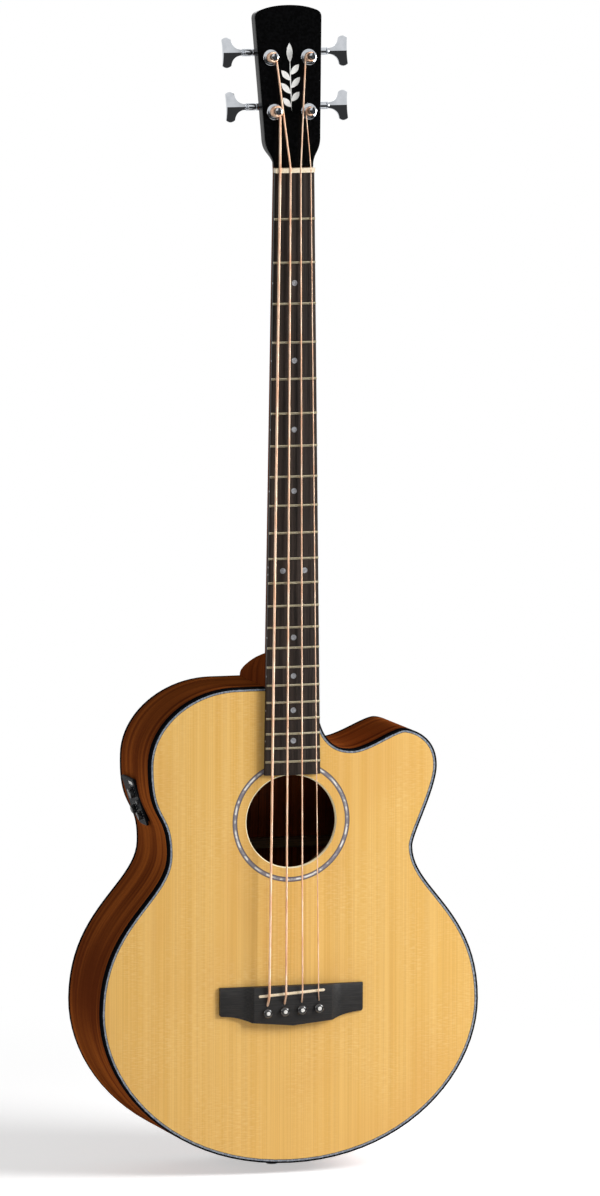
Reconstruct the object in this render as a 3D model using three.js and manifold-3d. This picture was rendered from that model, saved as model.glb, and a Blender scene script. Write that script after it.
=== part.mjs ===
// An acoustic bass guitar, standing on its tail: X to the treble side, Y to the back, Z up the neck.
// The origin is the centre of the strap pin's outer face, at the lowest point of the centre line.
// All lengths are in millimetres.

import * as THREE from 'three';
import { mergeVertices } from 'three/addons/utils/BufferGeometryUtils.js';
import Module from 'manifold-3d';

const wasm = await Module();
wasm.setup();

// Fits: the glue line or running gap between pieces, and how far a cutting shape runs past its cut
const gap = 0.3;
const overrun = 2;

// String length and strings, bass to treble
const scaleLength = 864;
const fretCount = 22;
const stringDiameters = [2.67, 2.16, 1.65, 1.14];
const stringCount = stringDiameters.length;
const saddleSpacing = 18.2;
const nutSpacing = 11.3;
const boardRadius = 305;

// Body outline: half widths, and heights as shares of the body's length from the tail
const bodyLength = 508.2;
const saddleShare = 0.36757;
const lowerBoutHalf = 208.4;
const lowerBoutShare = 0.32900;
const waistHalf = 134.4;
const waistShare = 0.65604;
const upperBoutHalf = 155.6;
const upperBoutShare = 0.84317;
const shoulderHalf = 58.7;
const hornReach = 161.3;
const hornReachShare = 0.82389;
const hornTip = 125.3;
const hornTipShare = 0.90260;
const cutawayLow = 67.7;
const cutawayLowShare = 0.86344;
const cutawayEnd = 26.7;
const saddleFromTail = saddleShare * bodyLength;
const lowerBoutHeight = lowerBoutShare * bodyLength;
const waistHeight = waistShare * bodyLength;
const upperBoutHeight = upperBoutShare * bodyLength;
const hornReachHeight = hornReachShare * bodyLength;
const hornTipHeight = hornTipShare * bodyLength;
const cutawayLowHeight = cutawayLowShare * bodyLength;

// Handle lengths of the outline's curves, as shares of the step between the points they join
const lowerShares = [0.62, 0.478];
const flankShares = [0.579, 0.278];
const chestShares = [0.504, 0.666];
const shoulderShares = [0.547, 0.454];
const hornFlankShares = [0.152, 0.29];
const hornShares = [0.786, 0.767];
const dipShares = [0.203, 0.303];
const riseShares = [0.823, 0.517];

// Body depth on the centre line, and how much less it is at the widest point of the domed back
const depthAtTail = 131;
const depthAtSaddle = 129;
const depthAtNeck = 105;
const backDome = 5;

// Plates, ribs, bindings and linings
const topThickness = 3.2;
const backThickness = 3;
const sideThickness = 3;
const bindingWidth = 2;
const bindingHeight = 8.5;
const purflingWidth = 4;
const purflingDepth = 2;
const backBindingHeight = 6;
const liningWidth = 5;
const liningHeight = 12;

// Sound hole and rosette, the centre's height as a share of the body's length
const holeShare = 0.71822;
const holeRadius = 49;
const rosetteInner = 59.4;
const rosetteOuter = 64.6;
const rosetteThickness = 1.2;

// Neck, fingerboard, nut and headstock
const nutWidth = 43.2;
const lastFretWidth = 60.5;
const boardPastLastFret = 14.4;
const boardThickness = 6.5;
const fretHeight = 1;
const fretWidth = 2.6;
const fretTang = 0.6;
const nutThickness = 5;
const nutClearance = 0.5;
const shaftDepthAtNut = 15.5;
const shaftDepthAtBody = 19;
const headTilt = THREE.MathUtils.degToRad(7.5);
const headLength = 170;
const headThickness = 10.7;
const headplateThickness = 2;
const headStep = 2.3;

// Tail pin
const pinProud = 11;
const pinShaftRadius = 4;

// Where the saddle line, nut, body ends and front of the top lie in the part's frame
const tailZ = pinProud;
const bodyTopZ = tailZ + bodyLength;
const saddleZ = tailZ + saddleFromTail;
const nutZ = saddleZ + scaleLength;
const frontY = -depthAtTail / 2;
const holeZ = tailZ + holeShare * bodyLength;

// Finishes
function finish(color, roughness, metalness = 0) {
  return new THREE.MeshStandardMaterial({ color, roughness, metalness });
}
const spruce = finish('#e4bd78', 0.35);
const innerSpruce = finish('#e0c79a', 0.7);
const mahogany = finish('#7a3a18', 0.35);
const blockWood = finish('#a9754a', 0.7);
const blackPlastic = finish('#15161a', 0.3);
const pearl = finish('#a9a59c', 0.35);
const darkWood = finish('#2b221d', 0.6);
const blackLacquer = finish('#060606', 0.1);
const bone = finish('#efe6d0', 0.4);
const chrome = finish('#d4d6da', 0.15, 1);
const steel = finish('#9a9da2', 0.35, 1);
const bronze = finish('#c08a5a', 0.3, 1);
const blackControl = finish('#1c1d20', 0.45);

const guitar = new THREE.Group();

function place(name, shape, material, parent = guitar) {
  const geometry = shape.isBufferGeometry ? shape : geometryOf(shape);
  const mesh = new THREE.Mesh(geometry, material);
  mesh.name = name;
  parent.add(mesh);
  return mesh;
}

// A closed geometry as a solid that can be joined and cut
function solidOf(geometry) {
  const bare = geometry.clone();
  bare.deleteAttribute('normal');
  bare.deleteAttribute('uv');
  const merged = mergeVertices(bare);
  const mesh = new wasm.Mesh({
    numProp: 3,
    vertProperties: new Float32Array(merged.attributes.position.array),
    triVerts: new Uint32Array(merged.index.array),
  });
  return new wasm.Manifold(mesh);
}

function geometryOf(solid) {
  const mesh = solid.getMesh();
  const geometry = new THREE.BufferGeometry();
  geometry.setAttribute('position', new THREE.BufferAttribute(mesh.vertProperties, 3));
  geometry.setIndex(new THREE.BufferAttribute(mesh.triVerts, 1));
  return geometry;
}

const cut = (solid, ...tools) => tools.reduce((rest, tool) => rest.subtract(tool), solid);
const join = (solid, ...others) => others.reduce((whole, other) => whole.add(other), solid);

// A box between two corners
function block(x0, x1, y0, y1, z0, z1) {
  const box = new THREE.BoxGeometry(x1 - x0, y1 - y0, z1 - z0);
  return solidOf(box.translate((x0 + x1) / 2, (y0 + y1) / 2, (z0 + z1) / 2));
}

// An outline of [x, z] points given a thickness from y0 to y1
function prismGeometry(points, y0, y1) {
  const shape = new THREE.Shape(points.map(([x, z]) => new THREE.Vector2(x, z)));
  const geometry = new THREE.ExtrudeGeometry(shape, { depth: y1 - y0, bevelEnabled: false });
  return geometry.rotateX(Math.PI / 2).translate(0, y1, 0);
}

const prism = (points, y0, y1) => solidOf(prismGeometry(points, y0, y1));

// An outline of [x, y] points given a length from z0 to z1
function bar(points, z0, z1) {
  const shape = new THREE.Shape(points.map(([x, y]) => new THREE.Vector2(x, y)));
  return solidOf(new THREE.ExtrudeGeometry(shape, { depth: z1 - z0, bevelEnabled: false }).translate(0, 0, z0));
}

// A body turned about the Y axis from closed [radius, y] points
function turned(profile, segments) {
  const points = [...profile, profile[0]].map(([radius, y]) => new THREE.Vector2(radius, y));
  const geometry = new THREE.LatheGeometry(points, segments);
  return facedOut(mergedBare(geometry));
}

function mergedBare(geometry) {
  geometry.deleteAttribute('normal');
  geometry.deleteAttribute('uv');
  const merged = mergeVertices(geometry);
  const index = [];
  const old = merged.index.array;
  for (let i = 0; i < old.length; i += 3) {
    const [a, b, c] = [old[i], old[i + 1], old[i + 2]];
    if (a !== b && b !== c && c !== a) index.push(a, b, c);
  }
  merged.setIndex(index);
  return merged;
}

// A closed geometry whose faces point out, whichever way they were wound
function facedOut(geometry) {
  const position = geometry.attributes.position;
  const index = geometry.index.array;
  const corner = (i) => new THREE.Vector3().fromBufferAttribute(position, index[i]);
  let volume = 0;
  for (let i = 0; i < index.length; i += 3) volume += corner(i).dot(corner(i + 1).cross(corner(i + 2)));
  if (volume < 0) geometry.setIndex(Array.from(index).reverse());
  return geometry;
}

// A closed skin through rings of as many points each, with its two ends capped
function loft(rings) {
  const count = rings[0].length;
  const points = rings.flat();
  const index = [];
  for (let ring = 0; ring + 1 < rings.length; ring += 1) {
    for (let i = 0; i < count; i += 1) {
      const a = ring * count + i;
      const b = ring * count + ((i + 1) % count);
      index.push(a, b, b + count, a, b + count, a + count);
    }
  }
  for (const end of [0, rings.length - 1]) {
    const centre = rings[end].reduce((sum, point) => sum.add(point), new THREE.Vector3()).divideScalar(count);
    points.push(centre);
    for (let i = 0; i < count; i += 1) {
      const pair = [end * count + i, end * count + ((i + 1) % count)];
      if (end === 0) pair.reverse();
      index.push(pair[0], pair[1], points.length - 1);
    }
  }
  const geometry = new THREE.BufferGeometry().setFromPoints(points);
  geometry.setIndex(index);
  return facedOut(geometry);
}

// A round tube through points, with its own radius at each
function tube(points, radii, sides) {
  const rings = [];
  let side = null;
  points.forEach((point, i) => {
    const before = points[Math.max(i - 1, 0)];
    const after = points[Math.min(i + 1, points.length - 1)];
    const along = new THREE.Vector3().subVectors(after, before).normalize();
    side = side ?? new THREE.Vector3(1, 0, 0);
    side = side.clone().addScaledVector(along, -side.dot(along)).normalize();
    const up = new THREE.Vector3().crossVectors(along, side);
    const ring = [];
    for (let k = 0; k < sides; k += 1) {
      const turn = (k / sides) * 2 * Math.PI;
      const spoke = side.clone().multiplyScalar(Math.cos(turn)).addScaledVector(up, Math.sin(turn));
      ring.push(point.clone().addScaledVector(spoke, radii[i]));
    }
    rings.push(ring);
  });
  return loft(rings);
}

// Body outline, once round from the tail by the treble side

function curve(from, handleFrom, handleTo, to, steps) {
  const points = [from, handleFrom, handleTo, to].map(([x, z]) => new THREE.Vector2(x, z));
  return new THREE.CubicBezierCurve(...points).getPoints(steps).map((point) => [point.x, point.y]);
}

function halfOutline() {
  const rise = waistHeight - lowerBoutHeight;
  const lower = curve(
    [0, 0],
    [lowerShares[0] * lowerBoutHalf, 0],
    [lowerBoutHalf, lowerBoutHeight * (1 - lowerShares[1])],
    [lowerBoutHalf, lowerBoutHeight],
    9,
  );
  const flank = curve(
    [lowerBoutHalf, lowerBoutHeight],
    [lowerBoutHalf, lowerBoutHeight + flankShares[0] * rise],
    [waistHalf, waistHeight - flankShares[1] * rise],
    [waistHalf, waistHeight],
    7,
  );
  return [...lower, ...flank.slice(1)];
}

function bassShoulder() {
  const rise = upperBoutHeight - waistHeight;
  const chest = curve(
    [waistHalf, waistHeight],
    [waistHalf, waistHeight + chestShares[0] * rise],
    [upperBoutHalf, upperBoutHeight - chestShares[1] * rise],
    [upperBoutHalf, upperBoutHeight],
    5,
  );
  const shoulder = curve(
    [upperBoutHalf, upperBoutHeight],
    [upperBoutHalf, upperBoutHeight + shoulderShares[0] * (bodyLength - upperBoutHeight)],
    [upperBoutHalf - shoulderShares[1] * (upperBoutHalf - shoulderHalf), bodyLength],
    [shoulderHalf, bodyLength],
    7,
  );
  return [...chest.slice(1), ...shoulder.slice(1)];
}

function trebleHorn() {
  const flankRise = hornReachHeight - waistHeight;
  const flank = curve(
    [waistHalf, waistHeight],
    [waistHalf, waistHeight + hornFlankShares[0] * flankRise],
    [hornReach, hornReachHeight - hornFlankShares[1] * flankRise],
    [hornReach, hornReachHeight],
    5,
  );
  const horn = curve(
    [hornReach, hornReachHeight],
    [hornReach, hornReachHeight + hornShares[0] * (hornTipHeight - hornReachHeight)],
    [hornReach - hornShares[1] * (hornReach - hornTip), hornTipHeight],
    [hornTip, hornTipHeight],
    7,
  );
  const dip = curve(
    [hornTip, hornTipHeight],
    [hornTip - dipShares[0] * (hornTip - cutawayLow), hornTipHeight],
    [cutawayLow + dipShares[1] * (hornTip - cutawayLow), cutawayLowHeight],
    [cutawayLow, cutawayLowHeight],
    4,
  );
  const rise = curve(
    [cutawayLow, cutawayLowHeight],
    [cutawayLow - riseShares[0] * (cutawayLow - cutawayEnd), cutawayLowHeight],
    [cutawayEnd, bodyLength - riseShares[1] * (bodyLength - cutawayLowHeight)],
    [cutawayEnd, bodyLength],
    7,
  );
  return [...flank, ...horn, ...dip, ...rise].filter(([x, z], i, all) => {
    const last = all[i - 1] ?? [waistHalf, waistHeight];
    return Math.hypot(x - last[0], z - last[1]) > gap;
  });
}

const trebleSide = [...halfOutline(), ...trebleHorn()];
const bassSide = [...halfOutline(), ...bassShoulder()].map(([x, z]) => [-x, z]);
const bodyOutline = [...trebleSide, ...bassSide.slice(1).reverse()].map(([x, z]) => [x, z + tailZ]);

// The body outline moved inwards by an inset, square to the wall
function outline(inset) {
  const count = bodyOutline.length;
  return bodyOutline.map(([x, z], i) => {
    const before = bodyOutline[(i + count - 1) % count];
    const after = bodyOutline[(i + 1) % count];
    const inA = new THREE.Vector2(before[1] - z, x - before[0]).normalize();
    const inB = new THREE.Vector2(z - after[1], after[0] - x).normalize();
    const inward = inA.clone().add(inB).normalize();
    const reach = inset / inward.dot(inA);
    return [x + inward.x * reach, z + inward.y * reach];
  });
}

function ring(outer, inner, y0, y1) {
  return cut(prism(outline(outer), y0, y1), prism(outline(inner), y0 - overrun, y1 + overrun));
}

// How far out the bass wall stands at a height
function bassWall(z) {
  for (let i = 1; i < bodyOutline.length; i += 1) {
    const [x0, z0] = bodyOutline[i - 1];
    const [x1, z1] = bodyOutline[i];
    if (x0 < 0 && x1 < 0 && (z0 - z) * (z1 - z) <= 0) return x0 + ((z - z0) / (z1 - z0)) * (x1 - x0);
  }
  return -waistHalf;
}

// The back's outer face: three depths joined by a parabola along the body, domed across
function backY(x, z) {
  const share = (z - tailZ) / bodyLength;
  const tailPart = (depthAtTail * (share - saddleShare) * (share - 1)) / saddleShare;
  const saddlePart = (depthAtSaddle * share * (share - 1)) / (saddleShare * (saddleShare - 1));
  const neckPart = (depthAtNeck * share * (share - saddleShare)) / (1 - saddleShare);
  return frontY + tailPart + saddlePart + neckPart - backDome * (x / lowerBoutHalf) ** 2;
}

// All the space in front of the back's outer face moved forward by an inset
function inFrontOfBack(inset) {
  const cells = 5;
  const half = lowerBoutHalf + overrun;
  const points = [];
  const low = tailZ - overrun;
  const length = bodyLength + 2 * overrun;
  const at = (i, k) => [-half + (i / cells) * 2 * half, low + (k / cells) * length];
  for (let k = 0; k <= cells; k += 1) {
    for (let i = 0; i <= cells; i += 1) {
      const [x, z] = at(i, k);
      points.push(new THREE.Vector3(x, frontY - overrun, z), new THREE.Vector3(x, backY(x, z) - inset, z));
    }
  }
  const index = [];
  const node = (i, k, side) => 2 * (k * (cells + 1) + i) + side;
  const quad = (a, b, c, d) => index.push(a, b, c, a, c, d);
  for (let k = 0; k < cells; k += 1) {
    for (let i = 0; i < cells; i += 1) {
      quad(node(i, k, 0), node(i + 1, k, 0), node(i + 1, k + 1, 0), node(i, k + 1, 0));
      quad(node(i, k, 1), node(i, k + 1, 1), node(i + 1, k + 1, 1), node(i + 1, k, 1));
    }
    quad(node(k, 0, 0), node(k, 0, 1), node(k + 1, 0, 1), node(k + 1, 0, 0));
    quad(node(k + 1, cells, 0), node(k + 1, cells, 1), node(k, cells, 1), node(k, cells, 0));
    quad(node(0, k + 1, 0), node(0, k + 1, 1), node(0, k, 1), node(0, k, 0));
    quad(node(cells, k, 0), node(cells, k, 1), node(cells, k + 1, 1), node(cells, k + 1, 0));
  }
  const geometry = new THREE.BufferGeometry().setFromPoints(points);
  geometry.setIndex(index);
  return solidOf(facedOut(geometry));
}

const farY = frontY + depthAtTail + overrun;
const toBack = inFrontOfBack(0);
const insideBack = inFrontOfBack(backThickness + gap);
const underTopY = frontY + topThickness + gap;

// Strings: from the ball under the bridge plate, over saddle and nut, to the wraps on the post

const bridgeHeight = 9.2;
const bridgePlateThickness = 3;
const saddleHeight = 12.2;
const saddleSkew = [-6.2, -1.5];
const saddleHalf = 36.5;
const saddleThickness = 3;
const saddleShift = -1.55;
const pinSpacing = 18.9;
const pinLine = [-24.1, -20.9];
const bridgePinRadius = 2.5;
const ballRadius = 2.6;
const ballLength = 3;
const rampShare = 0.42;
const platesY = frontY + topThickness + bridgePlateThickness + 2 * gap;

const crown = (x) => (x * x) / (2 * boardRadius);
const spread = (i, spacing) => (i - (stringCount - 1) / 2) * spacing;
const along = (pair, i) => pair[0] + ((pair[1] - pair[0]) * i) / (stringCount - 1);

// Headstock frame: x across, y to its back, z up its face from the nut's far side
const headFrame = new THREE.Group();
const headFootZ = nutZ + nutThickness + gap + headplateThickness * Math.sin(headTilt);
headFrame.position.set(0, frontY - headStep, headFootZ);
headFrame.rotation.x = -headTilt;
headFrame.updateMatrixWorld(true);
guitar.add(headFrame);

// Tuner posts, bass to treble: the outer strings go to the lower pair
const lowerPosts = { across: 18.8, up: 58 };
const upperPosts = { across: 20.7, up: 115 };
const posts = [
  { x: -lowerPosts.across, z: lowerPosts.up, side: -1 },
  { x: -upperPosts.across, z: upperPosts.up, side: -1 },
  { x: upperPosts.across, z: upperPosts.up, side: 1 },
  { x: lowerPosts.across, z: lowerPosts.up, side: 1 },
];
const postWaistRadius = 3.6;
const bushingProud = 2.4;
const wrapTurns = 2;
const wrapSteps = 24;
const wrapGap = 0.55;

const nutFloorY = frontY - gap - boardThickness - fretHeight - nutClearance;
const pinZ = (i) => saddleZ + along(pinLine, i);
const pinX = (i) => spread(i, pinSpacing);
const saddleRise = saddleSkew[1] - saddleSkew[0];
const alongSaddle = (x) => (x - saddleShift + saddleHalf) / (2 * saddleHalf);
const saddleLineZ = (x) => saddleZ + saddleSkew[0] + saddleRise * alongSaddle(x);

function stringRoute(i) {
  const radius = stringDiameters[i] / 2;
  const holeOffset = bridgePinRadius + gap + radius;
  const holeZAt = pinZ(i) + holeOffset;
  const bridgeY = frontY - gap - bridgeHeight;
  const saddleX = spread(i, saddleSpacing);
  const nutX = spread(i, nutSpacing);
  const crownY = frontY - saddleHeight + crown(saddleX) - gap - radius;
  const nutMidZ = nutZ + nutThickness / 2;
  const nutY = nutFloorY + crown(nutX) - radius;
  const saddleBackZ = saddleLineZ(saddleX) - saddleThickness / 2 - gap;
  const rampZ = holeZAt + rampShare * (saddleBackZ - holeZAt);
  const route = [
    new THREE.Vector3(pinX(i), platesY + gap + ballLength, holeZAt),
    new THREE.Vector3(pinX(i), platesY + gap, holeZAt),
    new THREE.Vector3(pinX(i), platesY + gap / 2, holeZAt),
    new THREE.Vector3(pinX(i), bridgeY + bridgeHeight / 2, holeZAt),
    new THREE.Vector3(pinX(i), bridgeY, rampZ),
    new THREE.Vector3(saddleX, crownY, saddleBackZ),
    new THREE.Vector3(nutX, nutY, nutMidZ),
  ];
  const radii = [ballRadius, ballRadius, radius, radius, radius, radius, radius];
  return { radius, route, radii };
}

// The winding, in the headstock frame: on at the inner side of the post, rising to its slot
function wraps(i, from) {
  const radius = stringDiameters[i] / 2;
  const post = posts[i];
  const wrapRadius = postWaistRadius + gap + radius;
  const start = headFrame.worldToLocal(from.clone());
  const [dx, dz] = [start.x - post.x, start.z - post.z];
  const swing = Math.acos(wrapRadius / Math.hypot(dx, dz));
  const first = Math.atan2(dz, dx) - post.side * swing;
  const pitch = stringDiameters[i] + wrapGap;
  const low = bushingProud + 2 * gap + radius;
  const points = [];
  for (let step = 0; step <= wrapTurns * wrapSteps; step += 1) {
    const turn = first - post.side * (step / wrapSteps) * 2 * Math.PI;
    const height = low + (step / wrapSteps) * pitch;
    const [across, up] = [wrapRadius * Math.cos(turn), wrapRadius * Math.sin(turn)];
    points.push(new THREE.Vector3(post.x + across, -height, post.z + up));
  }
  const last = points[points.length - 1];
  const before = points[points.length - 2];
  const tail = new THREE.Vector3().subVectors(last, before).setLength(stringDiameters[i]);
  points.push(last.clone().add(tail));
  return points.map((point) => headFrame.localToWorld(point));
}

// Least clear distance between two stretches of a winding a half turn or more apart
function leastGap(points, diameter) {
  let least = Infinity;
  for (let a = 0; a < points.length; a += 1) {
    for (let b = a + wrapSteps / 2; b < points.length; b += 1) {
      least = Math.min(least, points[a].distanceTo(points[b]));
    }
  }
  return least - diameter;
}

const stringSides = 6;
const stringTubes = [];
const stringSpaces = [];
for (let i = 0; i < stringCount; i += 1) {
  const { radius, route, radii } = stringRoute(i);
  const winding = wraps(i, route[route.length - 1]);
  const points = [...route, ...winding];
  const clearance = gap * Math.sqrt(2);
  stringTubes.push(tube(points, [...radii, ...winding.map(() => radius)], stringSides));
  const spaceRoute = [...route.slice(1), winding[0]];
  stringSpaces.push(solidOf(tube(spaceRoute, spaceRoute.map(() => radius + clearance), stringSides)));
  console.log(`string_${i + 1} winding: least gap to itself ${leastGap(winding, 2 * radius).toFixed(2)} mm`);
}
stringTubes.forEach((geometry, i) => place(`string_${i + 1}`, geometry, bronze));

// Bridge pins: a turned head over a plain shaft that ends under the bridge plate
const pinHeadRadius = 4.5;
const pinHeadHeight = 4;
const pinHeadLift = 0.6;
const pinHole = (i) => solidOf(turned([
  [0, frontY - gap - bridgeHeight - overrun],
  [bridgePinRadius + gap, frontY - gap - bridgeHeight - overrun],
  [bridgePinRadius + gap, platesY + overrun],
  [0, platesY + overrun],
], 8)).translate([pinX(i), 0, pinZ(i)]);
const pinHoles = posts.map((_, i) => pinHole(i));
for (let i = 0; i < stringCount; i += 1) {
  const headY = frontY - gap - bridgeHeight - pinHeadLift;
  const pin = turned([
    [0, headY - pinHeadHeight],
    [pinHeadRadius / 2, headY - 0.85 * pinHeadHeight],
    [pinHeadRadius, headY - pinHeadHeight / 2],
    [pinHeadRadius, headY - pinHeadHeight / 4],
    [bridgePinRadius, headY],
    [bridgePinRadius, platesY],
    [0, platesY],
  ], 10);
  place(`bridge_pin_${i + 1}`, pin.translate(pinX(i), 0, pinZ(i)), blackPlastic);
}

// Bridge: a dark wood block with thin wings, a slot for the saddle and ramps for the strings
const bridgeHalf = 79;
const bridgeTopEdge = 3.8;
const bridgeEndEdge = -27;
const bridgeShoulder = [45, -34.2];
const bridgePoint = -38.5;
const bridgeCorner = 3;
const bridgeBlockHalf = 43;
const bridgeWingStart = 56;
const wingHeight = 4.6;
const wingTipHeight = 3.4;
const slotDepth = 5.5;

function bridgeOutline() {
  const shape = new THREE.Shape();
  shape.moveTo(0, bridgeTopEdge);
  shape.lineTo(-bridgeHalf + bridgeCorner / 2, bridgeTopEdge);
  shape.lineTo(-bridgeHalf, bridgeTopEdge - bridgeCorner / 2);
  shape.lineTo(-bridgeHalf, bridgeEndEdge + bridgeCorner);
  shape.quadraticCurveTo(-bridgeHalf, bridgeEndEdge, -bridgeHalf + bridgeCorner, bridgeEndEdge);
  const [shoulderAcross, shoulderUp] = bridgeShoulder;
  shape.quadraticCurveTo((-bridgeHalf - shoulderAcross) / 2, bridgeEndEdge, -shoulderAcross, shoulderUp);
  shape.lineTo(0, bridgePoint);
  const bass = shape.getPoints(4).map((point) => [point.x, point.y + saddleZ]);
  const treble = bass.slice(1, -1).map(([x, z]) => [-x, z]).reverse();
  return [...bass, ...treble];
}

function bridgeProfile() {
  const base = frontY - gap;
  const wing = new THREE.QuadraticBezierCurve(
    new THREE.Vector2(bridgeBlockHalf, bridgeHeight),
    new THREE.Vector2(bridgeBlockHalf + (bridgeWingStart - bridgeBlockHalf) / 3, wingHeight),
    new THREE.Vector2(bridgeWingStart, wingHeight),
  ).getPoints(5).map((point) => [point.x, base - point.y]);
  const half = [...wing, [bridgeHalf + overrun, base - wingTipHeight], [bridgeHalf + overrun, base]];
  return [...half, ...half.map(([x, y]) => [-x, y]).reverse()];
}

const skewAngle = Math.atan2(saddleRise, 2 * saddleHalf);

// A bar with round ends along the skewed saddle line
function saddleStrip(half, thickness, y0, y1) {
  const shape = new THREE.Shape();
  const radius = thickness / 2;
  shape.absarc(half - radius, 0, radius, -Math.PI / 2, Math.PI / 2, false);
  shape.absarc(radius - half, 0, radius, Math.PI / 2, (3 * Math.PI) / 2, false);
  const points = shape.getPoints(4).map((point) => [point.x, point.y]);
  const geometry = prismGeometry(points, y0, y1).rotateY(-skewAngle);
  return solidOf(geometry.translate(saddleShift, 0, saddleLineZ(saddleShift)));
}

const bridgeTopY = frontY - gap - bridgeHeight;
const slotFloorY = bridgeTopY + slotDepth;
const slot = saddleStrip(saddleHalf + gap, saddleThickness + 2 * gap, bridgeTopY - overrun, slotFloorY);
const bridgeBlank = prism(bridgeOutline(), bridgeTopY - overrun, frontY - gap)
  .intersect(bar(bridgeProfile(), saddleZ + bridgePoint - overrun, saddleZ + bridgeTopEdge + overrun));
place('bridge', cut(bridgeBlank, slot, ...pinHoles, ...stringSpaces), darkWood);

// Pickup strip and saddle, one on the other in the slot
const pickupThickness = 1.2;
const pickupY = slotFloorY - gap;
const pickup = saddleStrip(saddleHalf - gap, saddleThickness - gap, pickupY - pickupThickness, pickupY);
place('saddle_pickup', pickup, blackPlastic);

function saddleSolid() {
  const steps = 10;
  const half = saddleHalf + 2 * overrun;
  const top = [];
  for (let i = 0; i <= steps; i += 1) {
    const x = -half + (i / steps) * 2 * half;
    top.push([x, frontY - saddleHeight + crown(x)]);
  }
  const foot = pickupY - pickupThickness - gap;
  const profile = [...top, [half, foot + overrun], [-half, foot + overrun]];
  const strip = saddleStrip(saddleHalf, saddleThickness, frontY - saddleHeight - overrun, foot);
  return strip.intersect(bar(profile, saddleZ - saddleHalf, saddleZ + saddleHalf));
}
place('saddle', saddleSolid(), bone);

// Neck, its heel and tenon, and the headstock core, cut from one piece of mahogany

const boardEndZ = saddleZ + scaleLength * 2 ** (-fretCount / 12) - boardPastLastFret;
const fretZ = (number) => saddleZ + scaleLength * 2 ** (-number / 12);
const boardHalf = (z) => {
  const share = (nutZ - z) / (nutZ - fretZ(fretCount));
  return (nutWidth + share * (lastFretWidth - nutWidth)) / 2;
};
const neckFootZ = bodyTopZ + gap;
const shaftSteps = 8;

function shaftRing(z, half, depth, lift = 0) {
  const points = [];
  for (let i = 0; i <= shaftSteps; i += 1) {
    const turn = (i / shaftSteps) * Math.PI;
    points.push(new THREE.Vector3(-half * Math.cos(turn), frontY + lift + depth * Math.sin(turn) ** 0.85, z));
  }
  return points;
}

const voluteLength = 34;
const voluteHalf = 27;
const voluteDepth = 19;
const shaft = solidOf(loft([
  shaftRing(neckFootZ, boardHalf(neckFootZ), shaftDepthAtBody),
  shaftRing(fretZ(12), boardHalf(fretZ(12)), (shaftDepthAtBody + shaftDepthAtNut) / 2),
  shaftRing(nutZ, nutWidth / 2, shaftDepthAtNut),
  shaftRing(nutZ + voluteLength / 3, nutWidth / 2, shaftDepthAtNut),
  shaftRing(nutZ + voluteLength, voluteHalf, voluteDepth),
]));

// Heel, full width down to its flat cap: shares of its depth, its half width and its reach up the neck
const heelDepth = 103.5;
const heelHalf = 28.4;
const heelReach = 52;
const heelLevels = [
  { depth: 0.077, half: 1, reach: 1 },
  { depth: 0.174, half: 0.993, reach: 0.81 },
  { depth: 0.25, half: 0.986, reach: 0.69 },
  { depth: 0.386, half: 0.979, reach: 0.635 },
  { depth: 0.53, half: 0.972, reach: 0.57 },
  { depth: 0.676, half: 0.965, reach: 0.49 },
  { depth: 0.79, half: 0.958, reach: 0.404 },
  { depth: 0.89, half: 0.95, reach: 0.317 },
  { depth: 0.966, half: 0.933, reach: 0.23 },
  { depth: 1, half: 0.898, reach: 0.173 },
];
const heelSteps = 8;
const heelRound = 0.6;
const heel = solidOf(loft(heelLevels.map(({ depth, half, reach }) => {
  const points = [];
  for (let i = 0; i <= heelSteps; i += 1) {
    const turn = (i / heelSteps) * Math.PI;
    const across = -Math.sign(Math.cos(turn)) * Math.abs(Math.cos(turn)) ** heelRound;
    const z = neckFootZ + reach * heelReach * Math.sin(turn) ** heelRound;
    points.push(new THREE.Vector3(half * heelHalf * across, frontY + depth * heelDepth, z));
  }
  return points;
})));

const tenonHalf = 11;
const tenonLength = 20;
const tenonDepth = 84;
const tenonFootZ = bodyTopZ - tenonLength;
const tenonEndY = frontY + tenonDepth;
const tenon = block(-tenonHalf, tenonHalf, underTopY + gap, tenonEndY, tenonFootZ, neckFootZ + overrun);
const mortise = block(
  -tenonHalf - gap,
  tenonHalf + gap,
  underTopY,
  tenonEndY + gap,
  tenonFootZ - gap,
  bodyTopZ + overrun,
);

// Headstock outline in its own frame, from the nut up, bass half then mirrored
const headWaistHalf = 30.6;
const headWaistUp = 30;
const headTopHalf = 36.6;
const headTopUp = 157;
const headCorner = 6;

function headOutline() {
  const shape = new THREE.Shape();
  shape.moveTo(nutWidth / 2, 0);
  shape.bezierCurveTo(
    nutWidth / 2,
    headWaistUp / 2,
    headWaistHalf,
    headWaistUp / 2,
    headWaistHalf,
    headWaistUp + headCorner / 2,
  );
  shape.lineTo(headTopHalf, headTopUp);
  const cornerUp = headTopUp + (4 * headCorner) / 3;
  shape.quadraticCurveTo(headTopHalf, headTopUp + headCorner, headTopHalf - headCorner, cornerUp);
  shape.quadraticCurveTo(headTopHalf / 2, headLength, 0, headLength);
  const treble = shape.getPoints(6).map((point) => [point.x, point.y]);
  const bass = treble.slice(0, -1).map(([x, z]) => [-x, z]).reverse();
  return [...treble, ...bass];
}

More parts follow.
